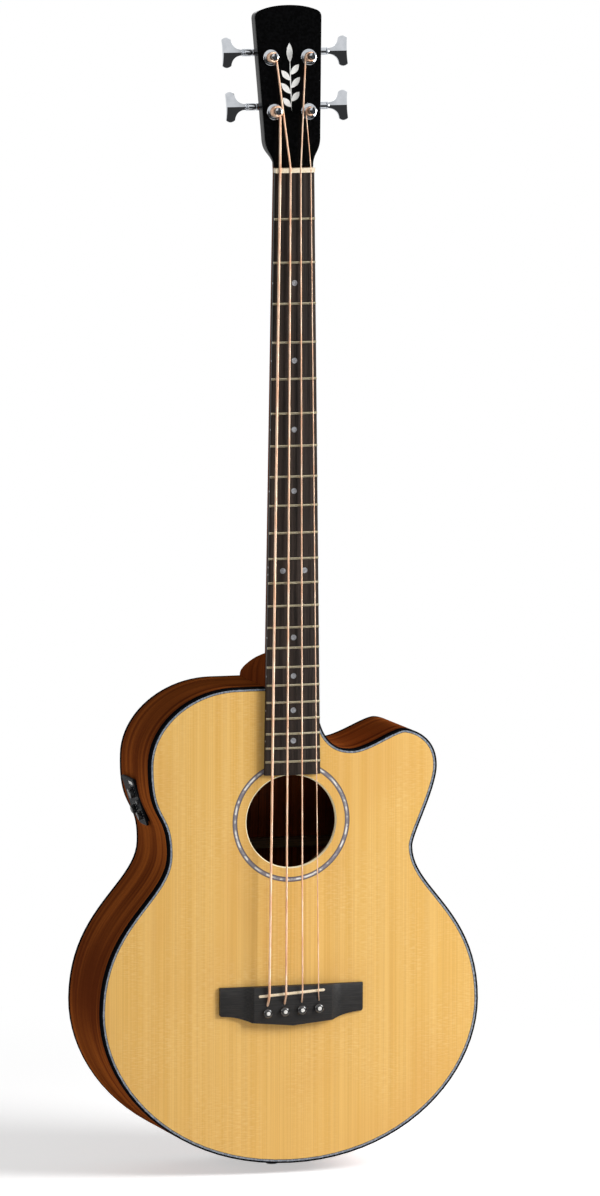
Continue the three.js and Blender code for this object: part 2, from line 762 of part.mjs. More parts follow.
const toHead = (solid) => solid.transform(headFrame.matrixWorld.elements);
const coreY = headplateThickness + gap;
const headCore = toHead(prism(headOutline(), coreY, coreY + headThickness));
const abovePlate = toHead(block(-headLength, headLength, -headLength, coreY, -gap, headLength));
const bushingRadius = 6.7;
const postHole = ({ x, z }, radius) => solidOf(turned([
  [0, -overrun],
  [radius, -overrun],
  [radius, headplateThickness + headThickness + 2 * overrun],
  [0, headplateThickness + headThickness + 2 * overrun],
], 14)).translate([x, 0, z]);
const bushingHoles = posts.map((post) => postHole(post, bushingRadius + gap));

// Truss rod channel, under the fingerboard from the tenon to just short of the nut
const rodWidth = 5.4;
const rodDepth = 8.6;
const rodNutShort = 14;
const rodTopZ = nutZ - rodNutShort;
const rodHalf = rodWidth / 2;
const rodChannel = block(
  -rodHalf - gap,
  rodHalf + gap,
  frontY - overrun,
  frontY + rodDepth + gap,
  tenonFootZ - overrun,
  rodTopZ + gap,
);
const rod = block(-rodHalf, rodHalf, underTopY + gap, frontY + rodDepth, tenonFootZ, rodTopZ);
place('truss_rod', rod, steel);

const neckBlank = join(shaft, heel, tenon, headCore);
place('neck', cut(neckBlank, abovePlate, rodChannel, ...bushingHoles.map(toHead)), mahogany);

// Headplate, a black veneer on the face of the headstock
const headplate = cut(prism(headOutline(), 0, headplateThickness), ...bushingHoles);
place('headplate', headplate, blackLacquer, headFrame);

// Fingerboard with its frets pressed in
const boardUnderY = frontY - gap;
const boardFaceY = boardUnderY - boardThickness;
const boardSteps = 3;

function boardRing(z) {
  const half = boardHalf(z);
  const points = [new THREE.Vector3(-half, boardUnderY, z)];
  for (let i = 0; i <= boardSteps; i += 1) {
    const x = -half + (i / boardSteps) * 2 * half;
    points.push(new THREE.Vector3(x, boardFaceY + crown(x), z));
  }
  points.push(new THREE.Vector3(half, boardUnderY, z));
  return points;
}

function fret(number) {
  const z = fretZ(number);
  const half = boardHalf(z);
  const rings = [];
  for (let i = 0; i <= boardSteps; i += 1) {
    const x = -half + (i / boardSteps) * 2 * half;
    const faceY = boardFaceY + crown(x);
    rings.push([
      new THREE.Vector3(x, faceY + fretTang, z - fretWidth / 2),
      new THREE.Vector3(x, faceY + fretTang, z + fretWidth / 2),
      new THREE.Vector3(x, faceY - fretHeight, z + fretWidth / 4),
      new THREE.Vector3(x, faceY - fretHeight, z - fretWidth / 4),
    ]);
  }
  return solidOf(loft(rings));
}

const frets = [];
for (let number = 1; number <= fretCount; number += 1) frets.push(fret(number));
place('fingerboard', join(solidOf(loft([boardRing(boardEndZ), boardRing(nutZ - gap)])), ...frets), darkWood);

// Nut, with a slot for each string
function nutSolid() {
  const steps = 8;
  const rings = [nutZ, nutZ + nutThickness].map((z) => {
    const points = [new THREE.Vector3(-nutWidth / 2, frontY - gap, z)];
    for (let i = 0; i <= steps; i += 1) {
      const x = (i / steps - 0.5) * nutWidth;
      points.push(new THREE.Vector3(x, nutFloorY - stringDiameters[1] / 2 + crown(x), z));
    }
    points.push(new THREE.Vector3(nutWidth / 2, frontY - gap, z));
    return points;
  });
  return cut(solidOf(loft(rings)), ...stringSpaces);
}
place('nut', nutSolid(), bone);

// Soundboard, with a rabbet for the binding, a groove for the rosette and holes for pins and strings
function disc(radius, y0, y1, x, z, segments) {
  const profile = [[0, y0], [radius, y0], [radius, y1], [0, y1]];
  return solidOf(turned(profile, segments)).translate([x, 0, z]);
}
const holeSides = 32;
const topBlank = prism(outline(bindingWidth + gap), frontY, frontY + topThickness);
const purflingSpace = ring(0, purflingWidth + gap, frontY - overrun, frontY + purflingDepth + gap);
const rosetteSpace = cut(
  disc(rosetteOuter + gap, frontY - overrun, frontY + rosetteThickness + gap, 0, holeZ, holeSides),
  disc(rosetteInner - gap, frontY - 2 * overrun, frontY + rosetteThickness + overrun, 0, holeZ, holeSides),
);
const soundHole = disc(holeRadius, frontY - overrun, frontY + topThickness + overrun, 0, holeZ, holeSides);
const soundboard = cut(topBlank, purflingSpace, rosetteSpace, soundHole, ...pinHoles, ...stringSpaces);
place('soundboard', soundboard, spruce);

const rosette = turned([
  [rosetteInner, frontY],
  [rosetteOuter, frontY],
  [rosetteOuter, frontY + rosetteThickness],
  [rosetteInner, frontY + rosetteThickness],
], holeSides);
place('rosette', rosette.translate(0, 0, holeZ), pearl);

// Bindings: the front one is an L round the edge of the top, the back one a plain strip
const frontBinding = join(
  ring(0, purflingWidth, frontY, frontY + purflingDepth),
  ring(0, bindingWidth, frontY, frontY + bindingHeight),
);
place('front_binding', cut(frontBinding, mortise), blackPlastic);

const aboveBackBinding = inFrontOfBack(backBindingHeight);
const backBinding = cut(ring(0, bindingWidth, frontY, farY).intersect(toBack), aboveBackBinding);
place('back_binding', backBinding, blackPlastic);

const back = cut(
  prism(outline(bindingWidth + gap), frontY, farY).intersect(toBack),
  inFrontOfBack(backThickness),
);
place('back', back, mahogany);

// Tail pieces: the strap pin on the centre line, and the output jack behind it
const pinSeat = tailZ - gap;
const pinCollarRadius = 7;
const pinWaistRadius = 4.6;
const pinHeadFace = 6;
const pinShaftLength = 20;
const strapPin = turned([
  [0, 0],
  [pinHeadFace, 0],
  [pinCollarRadius, 0.1 * pinProud],
  [pinCollarRadius, 0.3 * pinProud],
  [pinWaistRadius, 0.5 * pinProud],
  [pinWaistRadius, 0.7 * pinProud],
  [pinCollarRadius, 0.85 * pinProud],
  [pinCollarRadius, pinSeat],
  [pinShaftRadius, pinSeat],
  [pinShaftRadius, pinSeat + pinShaftLength],
  [0, pinSeat + pinShaftLength],
], 14);
place('end_pin', strapPin.rotateX(Math.PI / 2), chrome);

const jackY = 36;
const jackFlangeRadius = 11;
const jackFlangeThickness = 2.2;
const jackBarrelRadius = 5.8;
const jackBoreRadius = 3.3;
const jackLength = 34;
const jackFloor = 3;
const jack = turned([
  [jackBoreRadius, tailZ - gap - jackFlangeThickness],
  [jackFlangeRadius - jackFlangeThickness / 2, tailZ - gap - jackFlangeThickness],
  [jackFlangeRadius, tailZ - gap - jackFlangeThickness / 2],
  [jackFlangeRadius, tailZ - gap],
  [jackBarrelRadius, tailZ - gap],
  [jackBarrelRadius, tailZ + jackLength],
  [0, tailZ + jackLength],
  [0, tailZ + jackLength - jackFloor],
  [jackBoreRadius, tailZ + jackLength - jackFloor],
], 16);
place('output_jack', jack.rotateX(Math.PI / 2).translate(0, jackY, 0), chrome);

const upright = (radius, y, z0, z1) => {
  const profile = [[0, z0], [radius, z0], [radius, z1], [0, z1]];
  return solidOf(turned(profile, 16).rotateX(Math.PI / 2).translate(0, y, 0));
};
const pinBore = upright(pinShaftRadius + gap, 0, -overrun, tailZ + jackLength + overrun);
const jackBore = upright(jackBarrelRadius + gap, jackY, -overrun, tailZ + jackLength + overrun);

// Preamp: a panel on the outside of the bass wall, and an open-backed case through a cut-out
const panelShare = 0.75521;
const panelSpan = 50;
const panelDepth = 73.5;
const panelWidth = 43;
const panelProud = 2.2;
const panelCorner = 3;
const panelRound = 19;
const caseWall = 2;
const caseInset = 3.5;
const caseLength = 26;
const faceplate = 3;
const panelMidZ = tailZ + panelShare * bodyLength;
const panelZ = [panelMidZ - panelSpan / 2, panelMidZ + panelSpan / 2];
const panelX = panelZ.map(bassWall);
const panelHeight = Math.hypot(panelZ[1] - panelZ[0], panelX[1] - panelX[0]);
const panelTilt = Math.atan2(panelX[1] - panelX[0], panelZ[1] - panelZ[0]);

// Preamp frame: x into the body, y to the back, z up the wall, on the wall at the panel's middle
const preampFrame = new THREE.Group();
preampFrame.position.set(bassWall(panelMidZ), frontY + panelDepth, panelMidZ);
preampFrame.rotation.y = panelTilt;
preampFrame.updateMatrixWorld(true);
guitar.add(preampFrame);
const toWall = (solid) => solid.transform(preampFrame.matrixWorld.elements);

// The panel's outline grown or shrunk, as a slab across the preamp frame's x
function panelSlab(grow, x0, x1) {
  const half = panelWidth / 2 + grow;
  const up = panelHeight / 2 + grow;
  const round = panelRound + grow;
  const shape = new THREE.Shape();
  shape.moveTo(-half + panelCorner, -up);
  shape.lineTo(half - round, -up);
  shape.quadraticCurveTo(half - round / 4, -up + round / 4, half, -up + round);
  shape.lineTo(half, up - panelCorner);
  shape.quadraticCurveTo(half, up, half - panelCorner, up);
  shape.lineTo(-half + panelCorner, up);
  shape.quadraticCurveTo(-half, up, -half, up - panelCorner);
  shape.lineTo(-half, -up + panelCorner);
  shape.quadraticCurveTo(-half, -up, -half + panelCorner, -up);
  const geometry = new THREE.ExtrudeGeometry(shape, { depth: x1 - x0, bevelEnabled: false, curveSegments: 4 });
  return solidOf(geometry.rotateX(Math.PI / 2).rotateZ(Math.PI / 2).translate(x0, 0, 0));
}

// Knobs and buttons, placed by shares of the panel's width and height from its middle
const knobRadius = 6;
const smallKnobRadius = 4.6;
const buttonRadius = 2.3;
const knobProud = 5;
const smallKnobProud = 4.6;
const buttonProud = 2;
const stemRadius = 1.6;
const knob = { radius: knobRadius, proud: knobProud, stem: stemRadius };
const smallKnob = { radius: smallKnobRadius, proud: smallKnobProud, stem: stemRadius };
const button = { radius: buttonRadius, proud: buttonProud, stem: buttonRadius };
const controls = [
  { name: 'volume_knob', across: -0.174, up: 0.2, ...knob },
  { name: 'bass_knob', across: 0.128, up: -0.18, ...smallKnob },
  { name: 'treble_knob', across: -0.267, up: -0.28, ...smallKnob },
  { name: 'phase_button', across: -0.337, up: 0, ...button },
  { name: 'tuner_button', across: 0.198, up: 0.12, ...button },
];
const stemLength = 9;
const controlAt = ({ across, up }) => [across * panelWidth, up * panelHeight];

// A knob or button along the preamp frame's x, from its outer face to the end of its stem.
// A button's stem is as wide as its face, so that it can be pushed through the panel.
function controlSolid({ radius, proud, stem }) {
  const face = -panelProud - proud;
  const foot = -panelProud - gap;
  const top = [[0, face], [0.85 * radius, face], [radius, face + radius / 5]];
  const step = stem < radius ? [[radius, foot], [stem, foot]] : [];
  const end = [[stem, foot + stemLength], [0, foot + stemLength]];
  return turned([...top, ...step, ...end], 12).rotateZ(-Math.PI / 2);
}

const stemHole = (control) => {
  const [y, z] = controlAt(control);
  const radius = control.stem + gap;
  const profile = [[0, -overrun], [radius, -overrun], [radius, overrun], [0, overrun]];
  const long = solidOf(turned(profile, 8).rotateZ(-Math.PI / 2));
  return long.scale([faceplate + panelProud, 1, 1]).translate([0, y, z]);
};

const caseOuter = panelSlab(-caseInset, -panelProud / 2, caseLength);
const caseInner = panelSlab(-caseInset - caseWall, faceplate, caseLength + overrun);
const flange = cut(toWall(panelSlab(0, -panelProud, faceplate + overrun)), prism(outline(-gap), frontY, farY));
const stemHoles = controls.map((control) => toWall(stemHole(control)));
const preamp = cut(join(flange, toWall(caseOuter)), toWall(caseInner), ...stemHoles);
place('preamp', preamp, blackControl);
const caseSpace = toWall(panelSlab(-caseInset + gap, -3 * overrun, caseLength + overrun));

controls.forEach((control) => {
  const [y, z] = controlAt(control);
  place(control.name, controlSolid(control).translate(0, y, z), blackControl, preampFrame);
});

// Ribs: two bent sides that meet at the tail and stop at the neck tenon
const ribs = cut(
  ring(0, sideThickness, underTopY, farY).intersect(insideBack),
  ring(-overrun, bindingWidth + gap, frontY - overrun, frontY + bindingHeight + gap),
);
const behindBackBinding = cut(
  ring(-overrun, bindingWidth + gap, frontY, farY),
  inFrontOfBack(backBindingHeight + gap),
);
const ribBlank = cut(ribs, behindBackBinding, mortise, pinBore, jackBore);
const wide = lowerBoutHalf + overrun;
const bassSpace = block(-wide, -gap / 2, frontY, farY, 0, bodyTopZ + overrun);
const trebleSpace = block(gap / 2, wide, frontY, farY, 0, bodyTopZ + overrun);
place('bass_side', cut(ribBlank.intersect(bassSpace), caseSpace), mahogany);
place('treble_side', ribBlank.intersect(trebleSpace), mahogany);

// Blocks at neck and tail, with the linings let into the tail block
const neckBlockBass = 38;
const neckBlockTreble = 60;
const neckBlockLength = 60;
const tailBlockHalf = 45;
const tailBlockLength = 24;
const interior = prism(outline(sideThickness + gap), underTopY, farY).intersect(insideBack);
const neckBlockFoot = bodyTopZ - neckBlockLength;
const rodAccess = 5;
const accessHole = upright(rodAccess, frontY + rodDepth, neckBlockFoot - overrun, tenonFootZ + overrun);
function neckBlockSpace(grow) {
  return block(-neckBlockBass - grow, neckBlockTreble + grow, frontY, farY, neckBlockFoot - grow, bodyTopZ);
}
place('neck_block', cut(interior.intersect(neckBlockSpace(0)), mortise, accessHole), blockWood);

const liningOuter = sideThickness + gap;
const liningInner = liningOuter + liningWidth;
const liningSpace = (y0, y1) => ring(liningOuter - gap, liningInner + gap, y0, y1);
const frontLiningSpace = liningSpace(underTopY - overrun, underTopY + liningHeight + gap);
const backLiningSpace = cut(liningSpace(frontY, farY), inFrontOfBack(backThickness + liningHeight + 2 * gap));
const tailBlockSpace = block(-tailBlockHalf, tailBlockHalf, underTopY, farY, tailZ, tailZ + tailBlockLength);
const tailBlank = interior.intersect(tailBlockSpace);
place('tail_block', cut(tailBlank, frontLiningSpace, backLiningSpace, pinBore, jackBore), blockWood);

const frontLining = ring(liningOuter, liningInner, underTopY, underTopY + liningHeight);
const backLining = cut(
  ring(liningOuter, liningInner, frontY, farY).intersect(insideBack),
  inFrontOfBack(backThickness + gap + liningHeight),
);
place('front_lining', cut(frontLining, neckBlockSpace(gap)), blockWood);
place('back_lining', cut(backLining, neckBlockSpace(gap)), blockWood);

// Braces under the top, cut to the space inside the linings
const braceRoom = prism(outline(liningInner + gap), underTopY - overrun, farY + overrun);

// A bar on the inside of the top, turned about its middle
function topBar({ x, z, angle, length, width, height }) {
  const box = new THREE.BoxGeometry(length, height, width);
  box.rotateY(angle).translate(x, underTopY + height / 2, z);
  return solidOf(box).intersect(braceRoom);
}

const xCentreShare = 0.57418;
const xAngle = THREE.MathUtils.degToRad(40);
const xWidth = 8;
const xHeight = 16;
const upperBraceShare = 0.83196;
const upperBraceWidth = 11;
const upperBraceHeight = 15;
const xArm = (angle) => topBar({
  x: 0,
  z: tailZ + xCentreShare * bodyLength,
  angle,
  length: 2 * bodyLength,
  width: xWidth,
  height: xHeight,
});
const upperBraceZ = tailZ + upperBraceShare * bodyLength;
const belowUpperBrace = block(-wide, wide, frontY, farY, 0, upperBraceZ - upperBraceWidth / 2 - gap);
place('x_brace', join(xArm(xAngle), xArm(-xAngle)).intersect(belowUpperBrace), innerSpruce);
place('upper_brace', topBar({
  x: 0,
  z: upperBraceZ,
  angle: 0,
  length: 2 * wide,
  width: upperBraceWidth,
  height: upperBraceHeight,
}), innerSpruce);

const toneBarAngle = THREE.MathUtils.degToRad(12);
const upperToneBar = { name: 'tone_bar_upper', share: 0.22590, length: 250 };
const lowerToneBar = { name: 'tone_bar_lower', share: 0.14719, length: 200 };
const toneBarWidth = 7;
const toneBarHeight = 10;
[upperToneBar, lowerToneBar].forEach(({ name, share, length }) => place(name, topBar({
  x: 0,
  z: tailZ + share * bodyLength,
  angle: toneBarAngle,
  length,
  width: toneBarWidth,
  height: toneBarHeight,
}), innerSpruce));

const bridgePlateHalf = 72;
const bridgePlateEdges = [-41, 7];
const plateBlank = block(
  -bridgePlateHalf,
  bridgePlateHalf,
  underTopY,
  underTopY + bridgePlateThickness,
  saddleZ + bridgePlateEdges[0],
  saddleZ + bridgePlateEdges[1],
);
place('bridge_plate', cut(plateBlank, ...pinHoles, ...stringSpaces), blockWood);

// Braces across the back, their backs cut to its dome
const backBraceShares = [0.8280, 0.6431, 0.4266, 0.1905];
const backBraceWidth = 10;
const backBraceHeight = 14;
backBraceShares.forEach((share, i) => {
  const z = tailZ + share * bodyLength;
  const topY = backY(0, z) - backThickness - gap - backBraceHeight;
  const blank = block(-wide, wide, topY, farY, z - backBraceWidth / 2, z + backBraceWidth / 2);
  place(`back_brace_${i + 1}`, blank.intersect(braceRoom).intersect(insideBack), innerSpruce);
});

// Tuners, in the headstock frame: housing behind, bushing in front, post through both, key at the side
const bushingFlangeRadius = 8.4;
const bushingLength = 11;
const postRadius = 5;
const postCapRadius = 3.9;
const postWaistTop = 13.6;
const postTop = 17;
const postSlotWidth = 2.2;
const postSlotDepth = 6;
const housingWall = 1.6;
const housingHalf = 10;
const housingUp = 13.5;
const housingDown = 9.5;
const housingCorner = 4;
const housingDepth = 10;
const wheelRadius = 4.6;
const wheelRoot = 3.9;
const wheelThickness = 4;
const hubRadius = 3.2;
const wheelTeeth = 20;
const wormRadius = 2;
const wormRoot = 1.5;
const wormThreads = 3;
const sleeveRadius = 4.1;
const sleeveEnd = 24.3;
const keyReach = 22.6;
const keyHalf = 16;
const keyThickness = 4.4;
const keyNeck = 3.2;
const keyCollar = 1.6;
const housingY = headplateThickness + headThickness + 2 * gap;
const wheelY = housingY + housingWall + gap;
const wormUp = wheelRadius + wormRadius + gap;
const wormY = wheelY + wheelThickness / 2;

// A cylinder along the frame's x between two places
const crosswise = (radius, x0, x1) => {
  const profile = [[0, x0], [radius, x0], [radius, x1], [0, x1]];
  return solidOf(turned(profile, 10).rotateZ(-Math.PI / 2));
};

function bushing() {
  return turned([
    [postRadius + gap, -bushingProud],
    [0.8 * bushingFlangeRadius, -bushingProud],
    [bushingFlangeRadius, -bushingProud / 2],
    [bushingFlangeRadius, -gap],
    [bushingRadius, -gap],
    [bushingRadius, bushingLength],
    [postRadius + gap, bushingLength],
  ], 12);
}

// The worm wheel's toothed rim, one tip and one root to a tooth
function wheel() {
  const points = [];
  for (let i = 0; i < 2 * wheelTeeth; i += 1) {
    const turn = (i / (2 * wheelTeeth)) * 2 * Math.PI;
    const radius = i % 2 ? wheelRoot : wheelRadius;
    points.push([radius * Math.cos(turn), radius * Math.sin(turn)]);
  }
  return prism(points, wheelY, wheelY + wheelThickness);
}

function post() {
  const body = turned([
    [0, -postTop],
    [0.8 * postCapRadius, -postTop],
    [postCapRadius, -postTop + (postCapRadius - postWaistRadius)],
    [postCapRadius, -postWaistTop],
    [postWaistRadius, -postWaistTop + (postCapRadius - postWaistRadius)],
    [postWaistRadius, -bushingProud],
    [postRadius, -bushingProud + gap],
    [postRadius, housingY - gap],
    [hubRadius, housingY - gap],
    [hubRadius, wheelY + overrun],
    [0, wheelY + overrun],
  ], 12);
  const slotHalf = postSlotWidth / 2;
  const slotCut = block(-slotHalf, slotHalf, -postTop - overrun, -postTop + postSlotDepth, -postTop, postTop);
  return cut(join(solidOf(body), wheel()), slotCut);
}

function housing(side) {
  const shape = new THREE.Shape();
  const [left, right, low, high, r] = [-housingHalf, housingHalf, -housingDown, housingUp, housingCorner];
  shape.moveTo(left + r, low);
  shape.lineTo(right - r, low);
  shape.absarc(right - r, low + r, r, -Math.PI / 2, 0, false);
  shape.absarc(right - r, high - r, r, 0, Math.PI / 2, false);
  shape.absarc(left + r, high - r, r, Math.PI / 2, Math.PI, false);
  shape.absarc(left + r, low + r, r, Math.PI, 1.5 * Math.PI, false);
  const outlinePoints = shape.getPoints(2).map((point) => [point.x, point.y]);
  const box = prism(outlinePoints.slice(0, -1), housingY, housingY + housingDepth);
  const lying = (radius, x0, x1) => crosswise(radius, side * x0, side * x1).translate([0, wormY, wormUp]);
  const sleeve = lying(sleeveRadius, 0, sleeveEnd);
  const wheelRoom = disc(wheelRadius + gap, wheelY - gap, wheelY + wheelThickness + gap, 0, 0, 16);
  const postRoom = disc(hubRadius + gap, housingY - overrun, wheelY, 0, 0, 12);
  const wormRoom = lying(wormRadius + gap, -housingHalf + housingWall, sleeveEnd + overrun);
  return cut(join(box, sleeve), wheelRoom, postRoom, wormRoom);
}

// The key: worm and shaft in the sleeve, a collar, and a clover plate with two lobes
function key(side) {
  const profile = [];
  const wormLength = 2 * (housingHalf - housingWall) - 2 * gap;
  const start = -wormLength / 2;
  profile.push([0, start]);
  for (let i = 0; i < wormThreads; i += 1) {
    const at = start + (i / wormThreads) * wormLength;
    profile.push([wormRoot, at], [wormRadius, at + wormLength / (2 * wormThreads)]);
  }
  const collarAt = sleeveEnd + gap;
  profile.push([wormRoot, start + wormLength], [wormRoot, collarAt], [sleeveRadius, collarAt]);
  profile.push([sleeveRadius, collarAt + keyCollar], [0, collarAt + keyCollar]);
  const stem = solidOf(turned(profile, 10).rotateZ(-Math.PI / 2));
  const shape = new THREE.Shape();
  const from = collarAt + keyCollar / 2;
  const lobe = keyHalf / 4;
  const end = from + keyReach;
  shape.moveTo(from, -keyNeck);
  shape.quadraticCurveTo(from + keyReach / 2, -keyNeck, end - 2.4 * lobe, -keyHalf + lobe / 2);
  shape.quadraticCurveTo(end - 1.2 * lobe, -keyHalf - lobe / 2, end, -keyHalf + lobe / 2);
  shape.quadraticCurveTo(end - lobe / 2, 0, end, keyHalf - lobe / 2);
  shape.quadraticCurveTo(end - 1.2 * lobe, keyHalf + lobe / 2, end - 2.4 * lobe, keyHalf - lobe / 2);
  shape.quadraticCurveTo(from + keyReach / 2, keyNeck, from, keyNeck);
  const platePoints = shape.getPoints(3).map((point) => [point.x, point.y]);
  const plate = prism(platePoints, -keyThickness / 2, keyThickness / 2);
  const whole = join(stem, plate);
  const faced = side > 0 ? whole : whole.rotate([0, 0, 180]);
  return faced.translate([0, wormY, wormUp]);
}

posts.forEach(({ x, z, side }, i) => {
  const tuner = new THREE.Group();
  tuner.position.set(x, 0, z);
  headFrame.add(tuner);
  place(`tuner_bushing_${i + 1}`, bushing(), chrome, tuner);
  place(`tuner_post_${i + 1}`, post(), chrome, tuner);
  place(`tuner_housing_${i + 1}`, housing(side), chrome, tuner);
  place(`tuner_key_${i + 1}`, key(side), chrome, tuner);
});

guitar.updateMatrixWorld(true);
export default guitar;
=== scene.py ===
import math

import bmesh
import bpy
import numpy as np
from mathutils import Matrix, Vector
from mathutils.geometry import tessellate_polygon


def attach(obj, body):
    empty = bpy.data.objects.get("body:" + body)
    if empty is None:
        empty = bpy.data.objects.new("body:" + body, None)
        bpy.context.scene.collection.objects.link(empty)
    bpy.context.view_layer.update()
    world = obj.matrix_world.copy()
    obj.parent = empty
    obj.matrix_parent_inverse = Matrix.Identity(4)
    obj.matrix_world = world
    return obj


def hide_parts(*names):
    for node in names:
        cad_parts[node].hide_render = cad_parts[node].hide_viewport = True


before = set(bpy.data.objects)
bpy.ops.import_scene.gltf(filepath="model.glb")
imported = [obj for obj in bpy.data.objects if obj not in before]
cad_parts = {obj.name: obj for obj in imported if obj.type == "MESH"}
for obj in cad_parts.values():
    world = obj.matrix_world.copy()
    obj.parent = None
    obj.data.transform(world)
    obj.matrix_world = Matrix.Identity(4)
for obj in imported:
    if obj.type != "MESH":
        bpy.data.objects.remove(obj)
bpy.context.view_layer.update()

# Neck block, tail block, linings and bridge plate: plain hardwood, sawn square and glued inside
# the ribs and under the top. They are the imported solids, with an open-pored, unvarnished finish.

mm = 0.001


def shade(text):
    """A colour as the eye sees it, #rrggbb, in the linear numbers that a shader takes."""
    parts = [int(text[i : i + 2], 16) / 255 for i in (1, 3, 5)]
    linear = [p / 12.92 if p <= 0.04045 else ((p + 0.055) / 1.055) ** 2.4 for p in parts]
    return (*linear, 1.0)


def operator(operation):
    """A sign between wires and numbers, and the same with its sides exchanged."""
    return (
        lambda self, other: self.maths(operation, self, other),
        lambda self, other: self.maths(operation, other, self),
    )


class Wire:
    """A socket of a node tree. Sums and products of wires become nodes of that tree."""

    __add__, __radd__ = operator("ADD")
    __sub__, __rsub__ = operator("SUBTRACT")
    __mul__, __rmul__ = operator("MULTIPLY")
    __truediv__, __rtruediv__ = operator("DIVIDE")
    __pow__, __rpow__ = operator("POWER")

    def __init__(self, tree, socket):
        self.tree = tree
        self.socket = socket

    def node(self, kind, settings, inputs, output=0):
        made = self.tree.nodes.new(kind)
        for key, value in settings.items():
            setattr(made, key, value)
        for key, value in inputs.items():
            if isinstance(value, Wire):
                self.tree.links.new(value.socket, made.inputs[key])
            else:
                made.inputs[key].default_value = value
        return Wire(self.tree, made.outputs[output])

    def maths(self, operation, *values):
        vector = any(
            isinstance(v, tuple) or (isinstance(v, Wire) and v.socket.type in ("VECTOR", "RGBA"))
            for v in values
        )
        if vector:
            values = [(v, v, v) if isinstance(v, (int, float)) else v for v in values]
        kind = "ShaderNodeVectorMath" if vector else "ShaderNodeMath"
        return self.node(kind, {"operation": operation}, dict(enumerate(values)))

    def __abs__(self):
        return self.maths("ABSOLUTE", self)

    def axis(self, which):
        return self.node("ShaderNodeSeparateXYZ", {}, {0: self}, which)

    def vector(self, x, y, z):
        return self.node("ShaderNodeCombineXYZ", {}, {0: x, 1: y, 2: z})

    def length(self):
        return self.node("ShaderNodeVectorMath", {"operation": "LENGTH"}, {0: self}, 1)

    def noise(self, detail=2.0):
        return self.node("ShaderNodeTexNoise", {}, {"Vector": self, "Scale": 1.0, "Detail": detail})

    def between(self, low, high, start=0.0, end=1.0):
        inputs = {"Value": self, "From Min": low, "From Max": high, "To Min": start, "To Max": end}
        return self.node("ShaderNodeMapRange", {"interpolation_type": "SMOOTHSTEP"}, inputs)

    def blend(self, first, second):
        """From the first colour to the second. Each is #rrggbb, numbers or a wire."""
        first, second = (shade(c) if isinstance(c, str) else c for c in (first, second))
        return self.node("ShaderNodeMix", {"data_type": "RGBA"}, {0: self, 6: first, 7: second}, 2)


def new_finish(name):
    """A new material and the place on the piece, in millimetres, as a wire of its tree."""
    made = bpy.data.materials.new(name)
    made.use_nodes = True
    place = Wire(made.node_tree, made.node_tree.nodes.new("ShaderNodeTexCoord").outputs["Object"])
    return made, place * (1 / mm)


def coat_with(place, colour, roughness, relief, depth, **fixed):
    """Joins colour, roughness and relief (depth in millimetres) to the material's shader."""
    shader = place.tree.nodes["Principled BSDF"]
    bump = place.node("ShaderNodeBump", {}, {"Height": relief, "Distance": depth * mm})
    for name, value in {"Base Color": colour, "Roughness": roughness, "Normal": bump, **fixed}.items():
        socket = shader.inputs[name.replace("_", " ")]
        if isinstance(value, Wire):
            place.tree.links.new(value.socket, socket)
        else:
            socket.default_value = value


def streaks(place, across, along, shift=0.0, detail=3.0):
    """Noise drawn out along z, by the width and the length of a streak in millimetres."""
    return (place * (1 / across, 1 / across, 1 / along) + (shift, shift, shift)).noise(detail)


def wear(names, finish):
    """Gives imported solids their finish."""
    for name in names:
        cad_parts[name].data.materials.clear()
        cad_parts[name].data.materials.append(finish)


block_wood, place = new_finish("block_wood")
figure = streaks(place, 2.2, 60.0)
pores = streaks(place, 0.5, 9.0, 4.0).between(0.56, 0.7)
tone = pores.blend(figure.between(0.3, 0.7).blend("#b98a5c", "#9a6a40"), "#6f4728")
coat_with(place, tone, figure.between(0.3, 0.7, 0.62, 0.8), figure - pores * 0.6, 0.25)
blocks = ["neck_block", "tail_block", "bridge_plate", "front_lining", "back_lining"]
wear(blocks, block_wood)

# Braces: quartersawn spruce bars glued across the insides of top and back, planed by hand and
# left bare. Their dark brown is aged wood with painted shade of the body's inside. They are the
# imported solids.


def crosswise(place):
    """The place turned so that streaks run along the piece's x."""
    return place.vector(place.axis(2), place.axis(1), place.axis(0))


aged_and_shaded_spruce, place = new_finish("aged_and_shaded_spruce")
rings = streaks(crosswise(place), 1.1, 90.0)
planing = (place * (0.12, 0.5, 0.12)).noise()
# Dark brown tones: aged spruce, darkened further as painted shade inside the body.
tone = rings.between(0.35, 0.65).blend("#6c5334", "#503a20")
coat_with(place, tone, planing.between(0.3, 0.7, 0.6, 0.8), rings + planing * 0.5, 0.2)
braces = ["x_brace", "upper_brace", "tone_bar_upper", "tone_bar_lower"]
wear(braces + [f"back_brace_{i}" for i in (1, 2, 3, 4)], aged_and_shaded_spruce)

# Truss rod: a steel bar, oiled black from the mill, laid in its channel in the neck under the
# fingerboard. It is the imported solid.


def mottled(name, scale, detail, tones, roughness, depth, edges=(0.3, 0.7), **fixed):
    """A finish of one soft mottle, with two tones, a roughness or its range, and some relief."""
    made, place = new_finish(name)
    mottle = (place * scale).noise(detail)
    if isinstance(roughness, tuple):
        roughness = mottle.between(0.3, 0.7, *roughness)
    coat_with(place, mottle.between(*edges).blend(*tones), roughness, mottle, depth, **fixed)
    return made


rod_steel = mottled(
    "rod_steel", (1 / 1.5, 1 / 1.5, 1 / 25), 3.0, ("#8f9296", "#6d7074"), (0.3, 0.5), 0.05, (0.35, 0.65),
    Metallic=1.0,
)
wear(["truss_rod"], rod_steel)

# Ribs: two thin mahogany boards, bent over a hot iron to the body's outline and glued to the
# blocks at tail and neck. The grain runs round the body. Stained red-brown and varnished.

